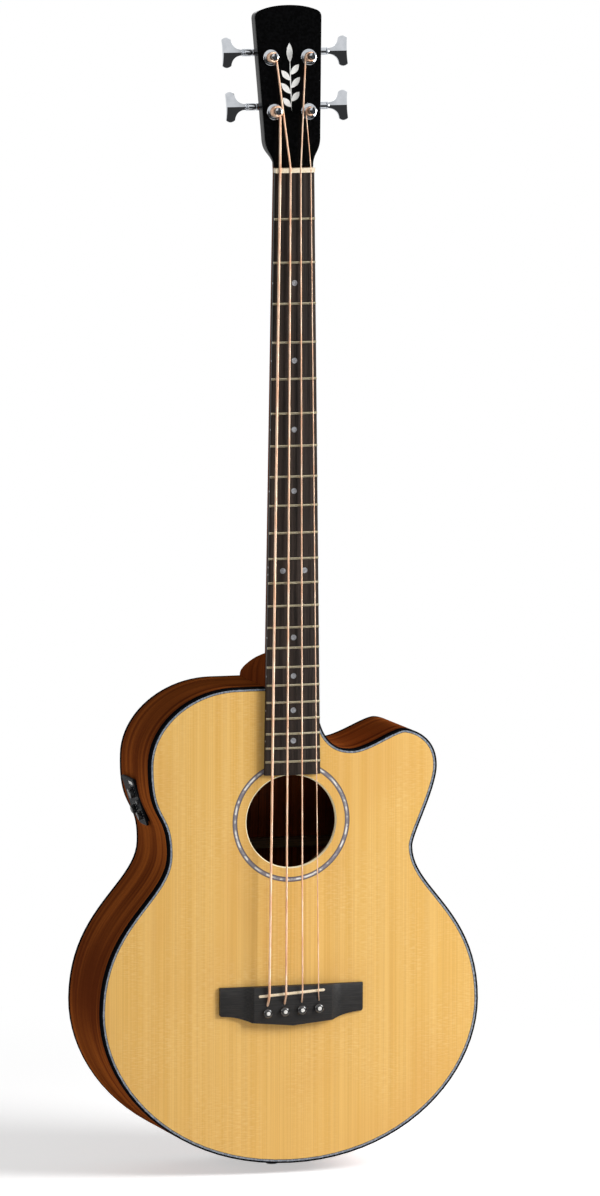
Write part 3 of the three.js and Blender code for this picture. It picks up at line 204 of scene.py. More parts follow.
body_length = 508.2
tail_z = 11.0
saddle_share = 0.36757
body_top_z = tail_z + body_length
saddle_z = tail_z + saddle_share * body_length
front_y = -65.5
lower_half, lower_up = 208.4, 0.329 * body_length
waist_half, waist_up = 134.4, 0.65604 * body_length
upper_half, upper_up = 155.6, 0.84317 * body_length
shoulder_half = 58.7
horn_reach, horn_reach_up = 161.3, 0.82389 * body_length
horn_tip, horn_tip_up = 125.3, 0.9026 * body_length
cutaway_low, cutaway_low_up = 67.7, 0.86344 * body_length
cutaway_end = 26.7
mortise_half = 11.0
depth_at_tail, depth_at_saddle, depth_at_neck = 131.0, 129.0, 105.0
back_dome = 5.0
rib_thickness = 3.0
binding_height, back_binding_height = 8.5, 6.0
curve_steps = 22

# Each bout ends at a point and leaves and arrives by shares of its run across and up.
lower_bouts = (
    ((lower_half, lower_up), (0.62, 0.0), (0.0, 0.478)),
    ((waist_half, waist_up), (0.0, 0.579), (0.0, 0.278)),
)
bass_bouts = (
    ((upper_half, upper_up), (0.0, 0.504), (0.0, 0.666)),
    ((shoulder_half, body_length), (0.0, 0.547), (0.546, 0.0)),
)
treble_bouts = (
    ((horn_reach, horn_reach_up), (0.0, 0.152), (0.0, 0.29)),
    ((horn_tip, horn_tip_up), (0.0, 0.786), (0.233, 0.0)),
    ((cutaway_low, cutaway_low_up), (0.203, 0.0), (0.303, 0.0)),
    ((cutaway_end, body_length), (0.823, 0.0), (0.0, 0.517)),
)


def bend(steps, *handles):
    """Points of a curve from the first handle to the last, drawn by those between, without its start."""
    degree = len(handles) - 1
    points = []
    for i in range(1, steps + 1):
        t = i / steps
        shares = [math.comb(degree, k) * t**k * (1 - t) ** (degree - k) for k in range(degree + 1)]
        points.append(tuple(sum(s * p[axis] for s, p in zip(shares, handles)) for axis in (0, 1)))
    return points


def half_outline(bouts, side):
    """One half of the body's outline, from the tail to the neck."""
    path = [(0.0, 0.0)]
    for end, leave, arrive in bouts:
        start = path[-1]
        run = [e - s for s, e in zip(start, end)]
        first = [s + share * r for s, share, r in zip(start, leave, run)]
        second = [e - share * r for e, share, r in zip(end, arrive, run)]
        path += bend(curve_steps, start, first, second, end)
    return [(side * x, z + tail_z) for x, z in path]


treble_outline = half_outline(lower_bouts + treble_bouts, 1)
bass_outline = half_outline(lower_bouts + bass_bouts, -1)
body_outline = treble_outline + bass_outline[:0:-1]


def inset_outline(inset):
    """The body's outline moved inwards, square to the wall."""
    moved = []
    for i, (x, z) in enumerate(body_outline):
        before, after = body_outline[i - 1], body_outline[(i + 1) % len(body_outline)]
        first = Vector((before[1] - z, x - before[0])).normalized()
        second = Vector((z - after[1], after[0] - x)).normalized()
        inward = (first + second).normalized()
        reach = inset / max(inward.dot(first), 0.3)
        moved.append((x + inward.x * reach, z + inward.y * reach))
    return moved


def back_y(x, z):
    """The back's outer face: a parabola through three depths along the body, domed across."""
    share = (z - tail_z) / body_length
    tail_part = depth_at_tail * (share - saddle_share) * (share - 1.0) * (1 / saddle_share)
    saddle_part = depth_at_saddle * share * (share - 1.0) * (1 / (saddle_share * (saddle_share - 1)))
    neck_part = depth_at_neck * share * (share - saddle_share) * (1 / (1 - saddle_share))
    across = x * (1 / lower_half)
    return tail_part + saddle_part + neck_part - back_dome * across * across + front_y


def new_tree(name, sockets):
    """A tree with named inputs: the tree, the identifier of each input and its wire."""
    tree = bpy.data.node_groups.new(name, "GeometryNodeTree")
    names = {}
    for label, kind in sockets.items():
        made = tree.interface.new_socket(label, in_out="INPUT", socket_type=f"NodeSocket{kind}")
        names[label] = made.identifier
    tree.interface.new_socket("Piece", in_out="OUTPUT", socket_type="NodeSocketGeometry")
    given = tree.nodes.new("NodeGroupInput")
    return tree, names, {label: Wire(tree, given.outputs[label]) for label in sockets}


def mark_run(path):
    """Keeps the length along a curve under the name run."""
    run = path.node("GeometryNodeSplineParameter", {}, {}, 1)
    settings = {"data_type": "FLOAT", "domain": "POINT"}
    inputs = {"Geometry": path, "Name": "run", "Value": run}
    return path.node("GeometryNodeStoreNamedAttribute", settings, inputs)


def sweep(path, section, scale=1.0):
    """A section drawn along a path and closed at its ends."""
    inputs = {"Curve": path, "Profile Curve": section, "Scale": scale, "Fill Caps": True}
    return path.node("GeometryNodeCurveToMesh", {}, inputs)


def shift(shape, **place):
    """A shape with its points at a new Position or moved by an Offset."""
    return shape.node("GeometryNodeSetPosition", {}, {"Geometry": shape, **place})


def close_tree(shape, finish):
    """Ends a tree with its shape made real and given its finish."""
    real = shape.node("GeometryNodeRealizeInstances", {}, {"Geometry": shape})
    done = real.node("GeometryNodeSetMaterial", {}, {"Geometry": real, "Material": finish})
    shape.tree.links.new(done.socket, shape.tree.nodes.new("NodeGroupOutput").inputs[0])


def strip_tree():
    """Node tree that runs a strip round an outline, between two edges measured from front or back."""
    tree, names, take = new_tree("bent_strip", {
        "Outline": "Geometry", "Thickness": "Float", "Inset": "Float",
        "Front edge": "Float", "Front edge follows the back": "Float",
        "Back edge": "Float", "Back edge follows the back": "Float", "Finish": "Material",
    })
    path = take["Outline"].node("GeometryNodeMeshToCurve", {}, {"Mesh": take["Outline"]})
    path = path.node("GeometryNodeSetCurveNormal", {"mode": "FREE"}, {0: path, "Normal": (0, 1, 0)})
    path = mark_run(path)
    thickness = take["Thickness"]
    section = path.node(
        "GeometryNodeCurvePrimitiveQuadrilateral", {"mode": "RECTANGLE"}, {0: 1.0, 1: abs(thickness)}
    )
    middle = path.vector(0.5, thickness * 0.5 + take["Inset"], 0.0)
    section = section.node("GeometryNodeTransform", {}, {"Geometry": section, "Translation": middle})
    spot = path.node("GeometryNodeInputPosition", {}, {}) * (1 / mm)
    x, share, z = spot.axis(0), spot.axis(1) * mm, spot.axis(2)
    depth = back_y(x, z) - front_y
    near = take["Front edge"] + take["Front edge follows the back"] * depth
    far = take["Back edge"] + take["Back edge follows the back"] * depth
    spot = spot.vector(x, near + (far - near) * share + front_y, z) * mm
    close_tree(shift(sweep(path, section), Position=spot), take["Finish"])
    return tree, names


def new_piece(name, data):
    piece = bpy.data.objects.new(name, data)
    bpy.context.scene.collection.objects.link(piece)
    return piece


def new_mesh(name, points, edges=(), faces=()):
    """A mesh from points in millimetres."""
    mesh = bpy.data.meshes.new(name)
    mesh.from_pydata([tuple(c * mm for c in point) for point in points], edges, faces)
    return mesh


def settle(piece):
    """Works a piece's modifiers into its own plain mesh."""
    graph = bpy.context.evaluated_depsgraph_get()
    mesh = bpy.data.meshes.new_from_object(piece.evaluated_get(graph))
    piece.modifiers.clear()
    piece.data = mesh


def draw(piece, tree, names, values):
    """Lets a tree make the piece's mesh from the values of its inputs."""
    modifier = piece.modifiers.new("tree", "NODES")
    modifier.node_group = tree
    for label, value in values.items():
        modifier[names[label]] = value
    settle(piece)


def face_out(mesh):
    """Joins a mesh's loose points and turns its faces outwards."""
    shell = bmesh.new()
    shell.from_mesh(mesh)
    bmesh.ops.remove_doubles(shell, verts=shell.verts, dist=1e-7)
    bmesh.ops.recalc_face_normals(shell, faces=shell.faces)
    shell.to_mesh(mesh)
    shell.free()


def fix(piece, slot, replaced, body="guitar", sharp=35):
    """Smooths a piece up to an angle and fixes it to its body."""
    face_out(piece.data)
    piece.data.shade_smooth()
    piece.data.set_sharp_from_angle(angle=math.radians(sharp))
    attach(piece, body)
    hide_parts(*replaced)


bent_strip = strip_tree()


def run_strip(name, outline, closed, finish, slot, replaced, thickness, front, back, inset=0.0):
    """A strip round the outline. Each edge is a distance, from the front or, with a 1, the back."""
    count = len(outline)
    edges = [(i, (i + 1) % count) for i in range(count if closed else count - 1)]
    piece = new_piece(name, new_mesh(name, [(x, 0, z) for x, z in outline], edges))
    draw(piece, *bent_strip, {
        "Thickness": thickness * mm, "Inset": inset * mm, "Finish": finish,
        "Front edge": front[0], "Front edge follows the back": front[1],
        "Back edge": back[0], "Back edge follows the back": back[1],
    })
    fix(piece, slot, replaced)


def run_along(place):
    """The length along the strip or string, in millimetres."""
    return place.node("ShaderNodeAttribute", {"attribute_name": "run"}, {}, 2) * (1 / mm)


def stained(wash, lines, holes, dark, light, line_tone, hole_tone):
    """Wood colour from dark to light by its wash, with the tones of grain lines and open pores."""
    return holes.blend(lines.blend(wash.blend(dark, light), line_tone), hole_tone)


rib_mahogany, place = new_finish("rib_mahogany")
board = place.vector(place.axis(1), 0.0, run_along(place))
grain = streaks(board, 1.3, 90.0)
bands = streaks(board, 9.0, 330.0, 7.0, 2.0)
glow = (board * (0.006, 1.0, 0.0045)).noise(1.0)
pores = streaks(board, 0.35, 7.0, 3.0).between(0.58, 0.68)
wash = (bands * 0.45 + glow * 0.55).between(0.38, 0.62)
lines = grain.between(0.35, 0.68) * 0.4
tone = stained(wash, lines, pores * 0.5, "#703419", "#b8642a", "#55270d", "#34150a")
gloss = bands.between(0.3, 0.7, 0.3, 0.42)
coat_with(place, tone, gloss, grain * 0.4 - pores, 0.02, Specular_IOR_Level=0.0)
for name, outline, side in (("treble", treble_outline, 1), ("bass", bass_outline, -1)):
    path = outline + [(side * mortise_half, body_top_z)]
    run_strip(
        f"{name}_rib", path, False, rib_mahogany, "mahogany", [f"{name}_side"],
        side * rib_thickness, front=(binding_height, 0.0), back=(-back_binding_height, 1.0),
    )

# Soundboard: two bookmatched spruce plates glued on the centre line, with the sound hole and the
# rosette's groove cut in. Fine upright grain with silk across it, under clear gloss varnish.

top_thickness = 3.2
# The top begins inside the black binding, its grey strip of painted sheen and its black line.
binding_top_width = 4.0
hole_z = tail_z + 0.71822 * body_length
hole_radius = 49.0
rosette_inner, rosette_outer, rosette_depth = 59.4, 64.6, 1.2
hole_ease = 1.3


def circle(radius, x=0.0, z=0.0, steps=128):
    turns = [2 * math.pi * i / steps for i in range(steps)]
    return [(x + radius * math.cos(t), z + radius * math.sin(t)) for t in turns]


class Shell:
    """Points and faces of a piece that is put together from walls and flat faces."""

    def __init__(self):
        self.points = []
        self.faces = []

    def flat(self, loops, y):
        """A flat face at y, bounded by the first loop and pierced by the others."""
        start = len(self.points)
        flat_loops = [[Vector((x, z, 0)) for x, z in loop] for loop in loops]
        self.points += [(x, y, z) for loop in loops for x, z in loop]
        self.faces += [[start + i for i in corners] for corners in tessellate_polygon(flat_loops)]

    def wall(self, first, second, closed=True):
        """Quads between two rows of as many 3D points."""
        start, count = len(self.points), len(first)
        self.points += list(first) + list(second)
        for i in range(count if closed else count - 1):
            j = (i + 1) % count
            self.faces.append([start + i, start + j, start + count + j, start + count + i])

    def cap(self, loop):
        start = len(self.points)
        self.points += list(loop)
        self.faces.append(list(range(start, start + len(loop))))

    def loft(self, rings, capped=True):
        """Walls from ring to ring, with both ends closed when capped."""
        for first, second in zip(rings, rings[1:]):
            self.wall(first, second)
        if capped:
            self.cap(rings[0])
            self.cap(rings[-1])
        return self

    def join(self, other):
        start = len(self.points)
        self.points += other.points
        self.faces += [[start + i for i in corners] for corners in other.faces]

    def moved(self, matrix):
        self.points = [tuple(matrix @ Vector(point)) for point in self.points]
        return self


def put(name, shell, finish, slot, replaced, **fixing):
    """Makes a piece of a shell, in that finish, and fixes it."""
    piece = new_piece(name, new_mesh(name, shell.points, faces=shell.faces))
    piece.data.materials.append(finish)
    fix(piece, slot, replaced, **fixing)
    return piece


def at_depths(*steps):
    """Rings from outlines of places across and up, each with its depth y."""
    return [[(x, y, z) for x, z in loop] for loop, y in steps]


def oblong(left, right, low, high):
    return [(left, low), (right, low), (right, high), (left, high)]


def slab(loop, front, rear):
    """A flat plate of that outline between two depths."""
    return Shell().loft(at_depths((loop, front), (loop, rear)))


def from_hole(place):
    """Distance from the middle of the sound hole, across the top."""
    place = place - (0.0, 0.0, hole_z)
    return place.vector(place.axis(0), 0.0, place.axis(2)).length()


spruce, place = new_finish("spruce")
half = place.vector(abs(place.axis(0)), 0.0, place.axis(2))
growth = streaks(half, 1.15, 420.0, 1.0, 2.0)
wide_growth = streaks(half, 9.0, 700.0, 5.0, 3.0)
silk = (half * (0.13, 0.0, 0.85)).noise()
cloud = (place * (0.012, 0.0, 0.006)).noise()
patches = (place * (0.016, 0.0, 0.009) + (3.0, 3.0, 3.0)).noise(1.0).between(0.3, 0.7)
# The sound hole's eased rim is painted pale cream: bare, unvarnished wood, brightened further as a painted
# highlight.
bare_rim_and_highlight = from_hole(place).between(hole_radius + hole_ease - 0.1, hole_radius + hole_ease, 1.0, 0.0)
joint = abs(place.axis(0)).between(0.0, 0.5, 0.35, 0.0)
tone = wide_growth.between(0.25, 0.75).blend("#f3c674", "#ecba62")
for mask, colour in (
    (growth.between(0.38, 0.66) * 0.3, "#d0994c"),
    (silk.between(0.46, 0.7) * patches * 0.32, "#fbdda0"),
    (silk.between(0.54, 0.3) * patches * 0.22, "#dba153"),
    (cloud.between(0.45, 0.7) * 0.3, "#dea557"),
    (bare_rim_and_highlight, "#fff0c8"),
    (joint, "#b98443"),
):
    tone = mask.blend(tone, colour)
gloss = silk.between(0.3, 0.7, 0.34, 0.44)
coat_with(place, tone, gloss, growth * 0.5 + silk * 0.3, 0.015, Specular_IOR_Level=0.3)
edge = inset_outline(binding_top_width)
hole, eased = circle(hole_radius, 0, hole_z), circle(hole_radius + hole_ease, 0, hole_z)
groove_in, groove_out = circle(rosette_inner, 0, hole_z), circle(rosette_outer, 0, hole_z)
floor_y, under_y = front_y + rosette_depth, front_y + top_thickness
top = Shell()
top.flat([edge, groove_out], front_y)
top.loft(at_depths(
    (groove_out, front_y), (groove_out, floor_y), (groove_in, floor_y), (groove_in, front_y),
    (eased, front_y), (hole, front_y + hole_ease), (hole, under_y),
), capped=False)
top.flat([edge, hole], under_y)
top.wall(*at_depths((edge, front_y), (edge, under_y)))
put("spruce_top", top, spruce, "spruce", ["soundboard"], sharp=25)

# Rosette: a ring of grey fibre lines with pearl between them, glued into its groove round the
# sound hole and levelled flush with the top.

rosette_lift = 0.02
rosette_pearl, place = new_finish("rosette_pearl")
off_middle = abs(from_hole(place) - (rosette_inner + rosette_outer) / 2)
flash = (place * 0.16).noise(3.0)
pearl_tone = flash.between(0.42, 0.62).blend("#8f8a90", "#f1eee8")
line_tone = off_middle.between(1.9, 2.3).blend("#7a727a", "#4b464c")
tone = off_middle.between(0.75, 1.15).blend(pearl_tone, line_tone)
coat_with(place, tone, 0.3, flash, 0.02, Coat_Weight=0.3)
lift_y = front_y - rosette_lift
ring = Shell().loft(at_depths(
    (groove_out, lift_y), (groove_in, lift_y), (groove_in, floor_y), (groove_out, floor_y),
    (groove_out, lift_y),
), capped=False)
put("rosette_ring", ring, rosette_pearl, "pearl", ["rosette"])

# Back: two mahogany plates joined on the centre line and pressed to a shallow dome, with the
# grain upright. Stained and varnished as the ribs.

back_thickness = 3.0
back_middle_z = 261.0
binding_width = 2.0
dome_rings = 16

back_mahogany, place = new_finish("back_mahogany")
half = place.vector(abs(place.axis(0)), 0.0, place.axis(2))
grain = streaks(half, 1.4, 90.0, 2.0)
bands = streaks(half, 16.0, 240.0, 9.0, 3.0)
pores = streaks(half, 0.4, 8.0, 6.0).between(0.58, 0.68)
wash, lines = bands.between(0.34, 0.66), grain.between(0.35, 0.68) * 0.5
tone = stained(wash, lines, pores * 0.5, "#6d3315", "#a05222", "#4a220e", "#34170b")
tone = abs(place.axis(0)).between(0.2, 0.6, 0.8, 0.0).blend(tone, "#2a120a")
gloss = bands.between(0.3, 0.7, 0.3, 0.42)
coat_with(place, tone, gloss, grain * 0.4 - pores, 0.02, Specular_IOR_Level=0.08)
edge = inset_outline(binding_width)
loops = [
    [(share * x, back_middle_z + share * (z - back_middle_z)) for x, z in edge]
    for share in np.arange(dome_rings, 0, -1) / dome_rings
]
back = Shell()
plates = []
for offset in (0.0, -back_thickness):
    plates.append([[(x, back_y(x, z) + offset, z) for x, z in loop] for loop in loops])
    back.loft(plates[-1], capped=False)
    back.cap(plates[-1][-1])
back.wall(plates[0][0], plates[1][0])
put("back_plate", back, back_mahogany, "mahogany", ["back"])

# Bindings: black plastic strips let into the corners of the body. On the top's edge, inside the front one,
# lie a grey strip, a painted sheen of glossy black, and a thin black line. The bindings are scraped flush
# and polished.

front_width, line_width, inner_strips_depth = 1.8, 0.4, 2.0
binding_black = mottled(
    "binding_black", 0.6, 3.0, ("#0b0c0f", "#131519"), (0.25, 0.36), 0.01, (0.4, 0.7), Specular_IOR_Level=0.0
)
# The grey strip's colour is a painted sheen: the shine of glossy black plastic, painted on as grey.
binding_sheen_grey = mottled("binding_sheen_grey", 0.5, 4.0, ("#6e7784", "#a1a8b3"), 0.3, 0.02, (0.35, 0.7))
for name, finish, width, inset, depth in (
    ("front_binding_strip", binding_black, front_width, 0.0, binding_height),
    ("binding_sheen_strip", binding_sheen_grey, front_width, front_width, inner_strips_depth),
    ("binding_inner_line", binding_black, line_width, 2 * front_width, inner_strips_depth),
):
    run_strip(
        name, body_outline, True, finish, "black_plastic", ["front_binding"],
        width, front=(0.0, 0.0), back=(depth, 0.0), inset=inset,
    )
run_strip(
    "back_binding_strip", body_outline, True, binding_black, "black_plastic", ["back_binding"],
    binding_width, front=(-back_binding_height, 1.0), back=(0.0, 1.0),
)

# Neck: one length of mahogany, carved round behind, with a full-width heel that sweeps down the
# body to a flat cap and a swelling behind the nut. Glued into the neck block by its tenon.

scale_length = 864.0
fret_count = 22
nut_z = saddle_z + scale_length
nut_width, last_width = 43.2, 60.5
depth_at_nut, depth_at_body = 15.5, 19.0
neck_foot_z = body_top_z + 0.1
heel_depth, heel_half, heel_reach, heel_round = 103.5, 28.4, 52.0, 0.6
# Down the heel from the board to the cap: share of the depth, of the half width, of the reach.
heel_levels = (
    (0.0, 1.0, 1.02),
    (0.077, 1.0, 1.0),
    (0.174, 0.993, 0.81),
    (0.25, 0.986, 0.69),
    (0.386, 0.979, 0.635),
    (0.53, 0.972, 0.57),
    (0.676, 0.965, 0.49),
    (0.79, 0.958, 0.404),
    (0.89, 0.95, 0.317),
    (0.966, 0.933, 0.23),
    (1.0, 0.898, 0.173),
)
# Past the nut: how far, and the swelling's half width or depth there.
swell_halves = ((0, 21.6), (12, 21.9), (24, 24.0), (36, 26.4), (48, 27.4), (60, 26.6), (70, 24.0))
swell_depths = ((0, 15.5), (8, 15.8), (20, 17.8), (30, 18.6), (42, 18.3), (54, 17.4), (70, 16.0))
swell_length = 70.0
tenon_front, tenon_depth, tenon_length = 3.8, 79.8, 20.0
section_steps = 96
heel_rings, heel_step, shaft_rings, swell_rings = 66, 0.9, 48, 34
head_tilt = math.radians(7.5)
# The solids leave this gap between pieces that are glued or screwed together.
glue_gap = 0.3
head_foot = (0.0, front_y - 2.3, 1067.361)


def fret_z(number):
    return saddle_z + scale_length * 2 ** (-number / 12)


def board_half(z):
    share = (nut_z - z) / (nut_z - fret_z(fret_count))
    return (nut_width + share * (last_width - nut_width)) / 2


def polar(across, depth):
    """Radius, at each angle round the section, of a half outline given from its edge to its middle."""
    angles = np.arctan2(depth, across)
    wanted = np.linspace(0, math.pi, section_steps + 1)
    folded = np.where(wanted > math.pi / 2, math.pi - wanted, wanted)
    order = np.argsort(angles)
    return np.interp(folded, angles[order], np.hypot(across, depth)[order])


def shaft_section(half_width, depth):
    turn = np.linspace(0, math.pi / 2, 160)
    return polar(half_width * np.cos(turn), depth * np.sin(turn) ** 0.85)


def heel_section(up):
    """The heel's outline at a height over its foot, or None above its reach."""
    levels = np.array(heel_levels)
    depth = np.linspace(0, 1, 400)
    reach = np.interp(depth, levels[:, 0], levels[:, 2]) * heel_reach
    soft = np.ones(31) / 31
    reach = np.convolve(np.pad(reach, 15, mode="edge"), soft, mode="valid")
    width = np.interp(depth, levels[:, 0], levels[:, 1]) * heel_half
    inside = reach > up
    if not inside[0]:
        return None
    last = len(inside) if inside.all() else int(np.argmin(inside))
    sine = np.clip(up / reach[:last], 0, 1) ** (1 / heel_round)
    across = width[:last] * np.sqrt(np.clip(1 - sine**2, 0, 1)) ** heel_round
    deep = depth[:last] * heel_depth
    return polar(np.append(across, 0.0), np.append(deep, deep[-1]))


def neck_ring(z):
    """One cross-section of the neck."""
    wanted = np.linspace(0, math.pi, section_steps + 1)
    front = 0.0
    if z <= nut_z:
        share = (nut_z - z) / (nut_z - neck_foot_z)
        radius = shaft_section(board_half(z), depth_at_nut + share * (depth_at_body - depth_at_nut))
        heel = heel_section(z - neck_foot_z)
        if heel is not None:
            most = np.maximum(radius, heel)
            joined = (radius**10 + heel**10) ** 0.1
            radius = most + (joined - most) * np.sin(wanted) ** 2
    else:
        half_width, deep = (np.interp(z - nut_z, *zip(*table)) for table in (swell_halves, swell_depths))
        front = max(0.0, (z - head_foot[2]) * math.tan(head_tilt) + 0.2)
        radius = shaft_section(half_width, deep - front)
    return [(-r * math.cos(a), front_y + front + r * math.sin(a), z) for r, a in zip(radius, wanted)]


neck_mahogany, place = new_finish("neck_mahogany")
grain = streaks(place, 1.1, 120.0, 1.5)
bands = streaks(place, 9.0, 160.0, 8.0, 2.0)
pores = streaks(place, 0.4, 9.0, 6.5).between(0.57, 0.68)
wash, lines = bands.between(0.34, 0.66), grain.between(0.35, 0.68) * 0.45
tone = stained(wash, lines, pores * 0.45, "#733518", "#964b21", "#5c2d10", "#3d1c0b")
gloss = bands.between(0.3, 0.7, 0.38, 0.48)
coat_with(place, tone, gloss, grain * 0.4 - pores, 0.03, Specular_IOR_Level=0.0)
heights = [neck_foot_z + heel_step * i for i in range(heel_rings)]
heights += list(np.linspace(heights[-1] + 6, nut_z, shaft_rings))
heights += list(np.linspace(nut_z + 2, nut_z + swell_length, swell_rings))
neck = Shell().loft([neck_ring(z) for z in heights])
tenon_y = front_y + tenon_front
tenon = oblong(-mortise_half, mortise_half, tenon_y, tenon_y + tenon_depth)
neck.loft([[(x, y, z) for x, y in tenon] for z in (body_top_z - tenon_length, neck_foot_z + 1)])
put("neck_shaft", neck, neck_mahogany, "mahogany", ["neck"], sharp=50)

# Headstock: the neck's own mahogany, sawn to a taper and tilted back, faced with a black veneer
# and lacquered black on its face and edges. The back shows the wood.

head_length, core_thickness, plate_thickness = 170.0, 10.7, 2.0
waist_across, waist_above, top_across, top_above, head_corner = 30.6, 30.0, 36.6, 157.0, 6.0
run_out, thin_end = 24.0, 0.8
to_head = Matrix.Translation(head_foot) @ Matrix.Rotation(-head_tilt, 4, "X")


def head_outline():
    start, low_z = (nut_width / 2, 0.0), waist_above / 2
    waist = (waist_across, waist_above + head_corner / 2)
    side = (top_across, top_above)
    corner = (top_across - head_corner, top_above + 4 * head_corner / 3)
    points = [start] + bend(curve_steps, start, (start[0], low_z), (waist_across, low_z), waist) + [side]
    points += bend(10, side, (top_across, top_above + head_corner), corner)
    points += bend(10, corner, (top_across / 2, head_length), (0.0, head_length))
    return points + [(-x, z) for x, z in points[-2::-1]]


def soften(piece, width, segments=3, angle=30):
    """Rounds a piece's edges by a small radius in millimetres."""
    modifier = piece.modifiers.new("rounding", "BEVEL")
    modifier.width = width * mm
    modifier.segments = segments
    modifier.limit_method = "ANGLE"
    modifier.angle_limit = math.radians(angle)
    modifier.harden_normals = True


def core_back(z):
    """Depth of the core's back, which runs out into the neck behind the nut."""
    share = min(1.0, z / run_out)
    thick = thin_end + (core_thickness + glue_gap - thin_end) * share * share * (3 - 2 * share)
    return plate_thickness + thick


head_lacquer = mottled(
    "head_lacquer", 0.35, 2.0, ("#030303", "#070708"), (0.12, 0.2), 0.005, Specular_IOR_Level=0.08
)
core = Shell()
loop = head_outline()
face_rim = at_depths((loop, plate_thickness))[0]
rear = [(x, core_back(z), z) for x, z in loop]
core.cap(face_rim)
core.wall(face_rim, rear)
step = 0
while loop[step][1] < run_out:
    core.cap([rear[step], rear[step + 1], rear[-2 - step], rear[-1 - step]])
    step += 1
core.cap(rear[step : len(rear) - step])
head_core = put("head_core", core.moved(to_head), neck_mahogany, "mahogany", ["neck"])
head_core.data.materials.append(head_lacquer)
behind = to_head.to_3x3() @ Vector((0, 1, 0))
for face in head_core.data.polygons:
    face.material_index = 0 if face.normal.dot(behind) > 0.5 else 1
soften(head_core, 1.0)
plate = slab(loop, 0.0, plate_thickness)
soften(put("head_face", plate.moved(to_head), head_lacquer, "black_lacquer", ["headplate"]), 0.5)

# Headstock inlay: a plain sprig of pearl leaves on a stem, sawn from shell, let into the veneer
# and levelled flush with the lacquer.

leaf_proud, leaf_thickness, leaf_width = 0.03, 0.43, 6.2
stem_z, stem_length, stem_width = 58.0, 62.0, 1.0
tip_z, tip_length, tip_width = 110.0, 20.0, 6.6
leaf_lean = 0.72
inlay_pearl = mottled("inlay_pearl", 0.25, 3.0, ("#f2f2ef", "#fffefb"), 0.3, 0.01, (0.35, 0.65))
sprig = Shell()


def leaf(foot_x, foot_z, lean, length, width):
    """A pointed leaf from its foot, leaning from upright by an angle."""
    loop = []
    for side in (1, -1):
        for i in range(12):
            t = i / 12 if side > 0 else 1 - i / 12
            across = side * width / 2 * math.sin(math.pi * t) ** 0.8
            x = foot_x + t * length * math.sin(lean) + across * math.cos(lean)
            loop.append((x, foot_z + t * length * math.cos(lean) - across * math.sin(lean)))
    sprig.join(slab(loop, -leaf_proud, leaf_thickness - leaf_proud))


leaf(0.0, stem_z, 0.0, stem_length, stem_width)
leaf(0.0, tip_z, 0.0, tip_length, tip_width)
for foot_z, length in ((66.0, 13.0), (80.0, 15.0), (94.0, 14.0)):
    for side in (-1, 1):
        leaf(side * stem_width / 2, foot_z + 3.0 * side, side * leaf_lean, length, leaf_width)
put("head_inlay", sprig.moved(to_head), inlay_pearl, "pearl", [])

# Fingerboard: near-black rosewood planed to a cylinder's face, glued on the neck and over the
# top, with fine open grain along it. Pearl dots mark the frets on its face and bass edge.

board_thickness, board_radius = 6.5, 305.0
board_end_z = fret_z(fret_count) - 14.4
board_face_y = front_y - glue_gap - board_thickness
board_under_y = front_y - 0.05
board_strips, board_rings = 24, 12
face_dot, side_dot, dot_proud, dot_depth = 3.0, 1.1, 0.03, 1.5
side_dot_y = front_y - 3.6
octave, face_pair, side_pair = 12, 12.0, 4.0


def crown(x):
    return x * x * (1 / (2 * board_radius))


def board_ring(z):
    half_width = board_half(z)
    points = [(-half_width, board_under_y, z)]
    for i in range(board_strips + 1):
        x = (i / board_strips * 2 - 1) * half_width
        points.append((x, board_face_y + crown(x), z))
    return points + [(half_width, board_under_y, z)]


rosewood, place = new_finish("rosewood")
grain = streaks(place, 0.9, 60.0, 3.0)
bands = streaks(place, 6.0, 200.0, 6.0, 2.0)
pores = streaks(place, 0.35, 6.0, 2.0).between(0.57, 0.68)
wash, lines = bands.between(0.35, 0.65), grain.between(0.4, 0.7) * 0.5
tone = stained(wash, lines, pores * 0.6, "#211b18", "#352b26", "#4a4039", "#120c0a")
gloss = grain.between(0.3, 0.7, 0.5, 0.62)
coat_with(place, tone, gloss, grain * 0.5 - pores, 0.06, Specular_IOR_Level=0.15)
board = Shell().loft([board_ring(z) for z in np.linspace(board_end_z, nut_z, board_rings)])
soften(put("rosewood_board", board, rosewood, "dark_wood", ["fingerboard"]), 0.35)

dot_pearl = mottled("dot_pearl", 0.7, 3.0, ("#85878c", "#b3b5ba"), 0.35, 0.01, (0.35, 0.65))
dots = Shell()
for number in (3, 5, 7, 9, 12, 15, 17, 19, 21):
    dot_z = (fret_z(number) + fret_z(number - 1)) / 2
    for x in (-face_pair, face_pair) if number == octave else (0.0,):
        rim = [(a, board_face_y + crown(a) - dot_proud, b) for a, b in circle(face_dot, x, dot_z, 28)]
        dots.loft([rim, [(a, y + dot_depth, b) for a, y, b in rim]])
    for up in (-side_pair, side_pair) if number == octave else (0.0,):
        rim = [(-board_half(b) - dot_proud, y, b) for y, b in circle(side_dot, side_dot_y, dot_z + up, 16)]
        dots.loft([rim, [(a + dot_depth, y, b) for a, y, b in rim]])
put("position_dots", dots, dot_pearl, "pearl", ["fingerboard"])

# Frets: drawn nickel-silver wire pressed into slots across the board, each at its place in the
# scale and as long as the board is wide there, filed to the board's round face.

fret_width, fret_height = 2.6, 1.0


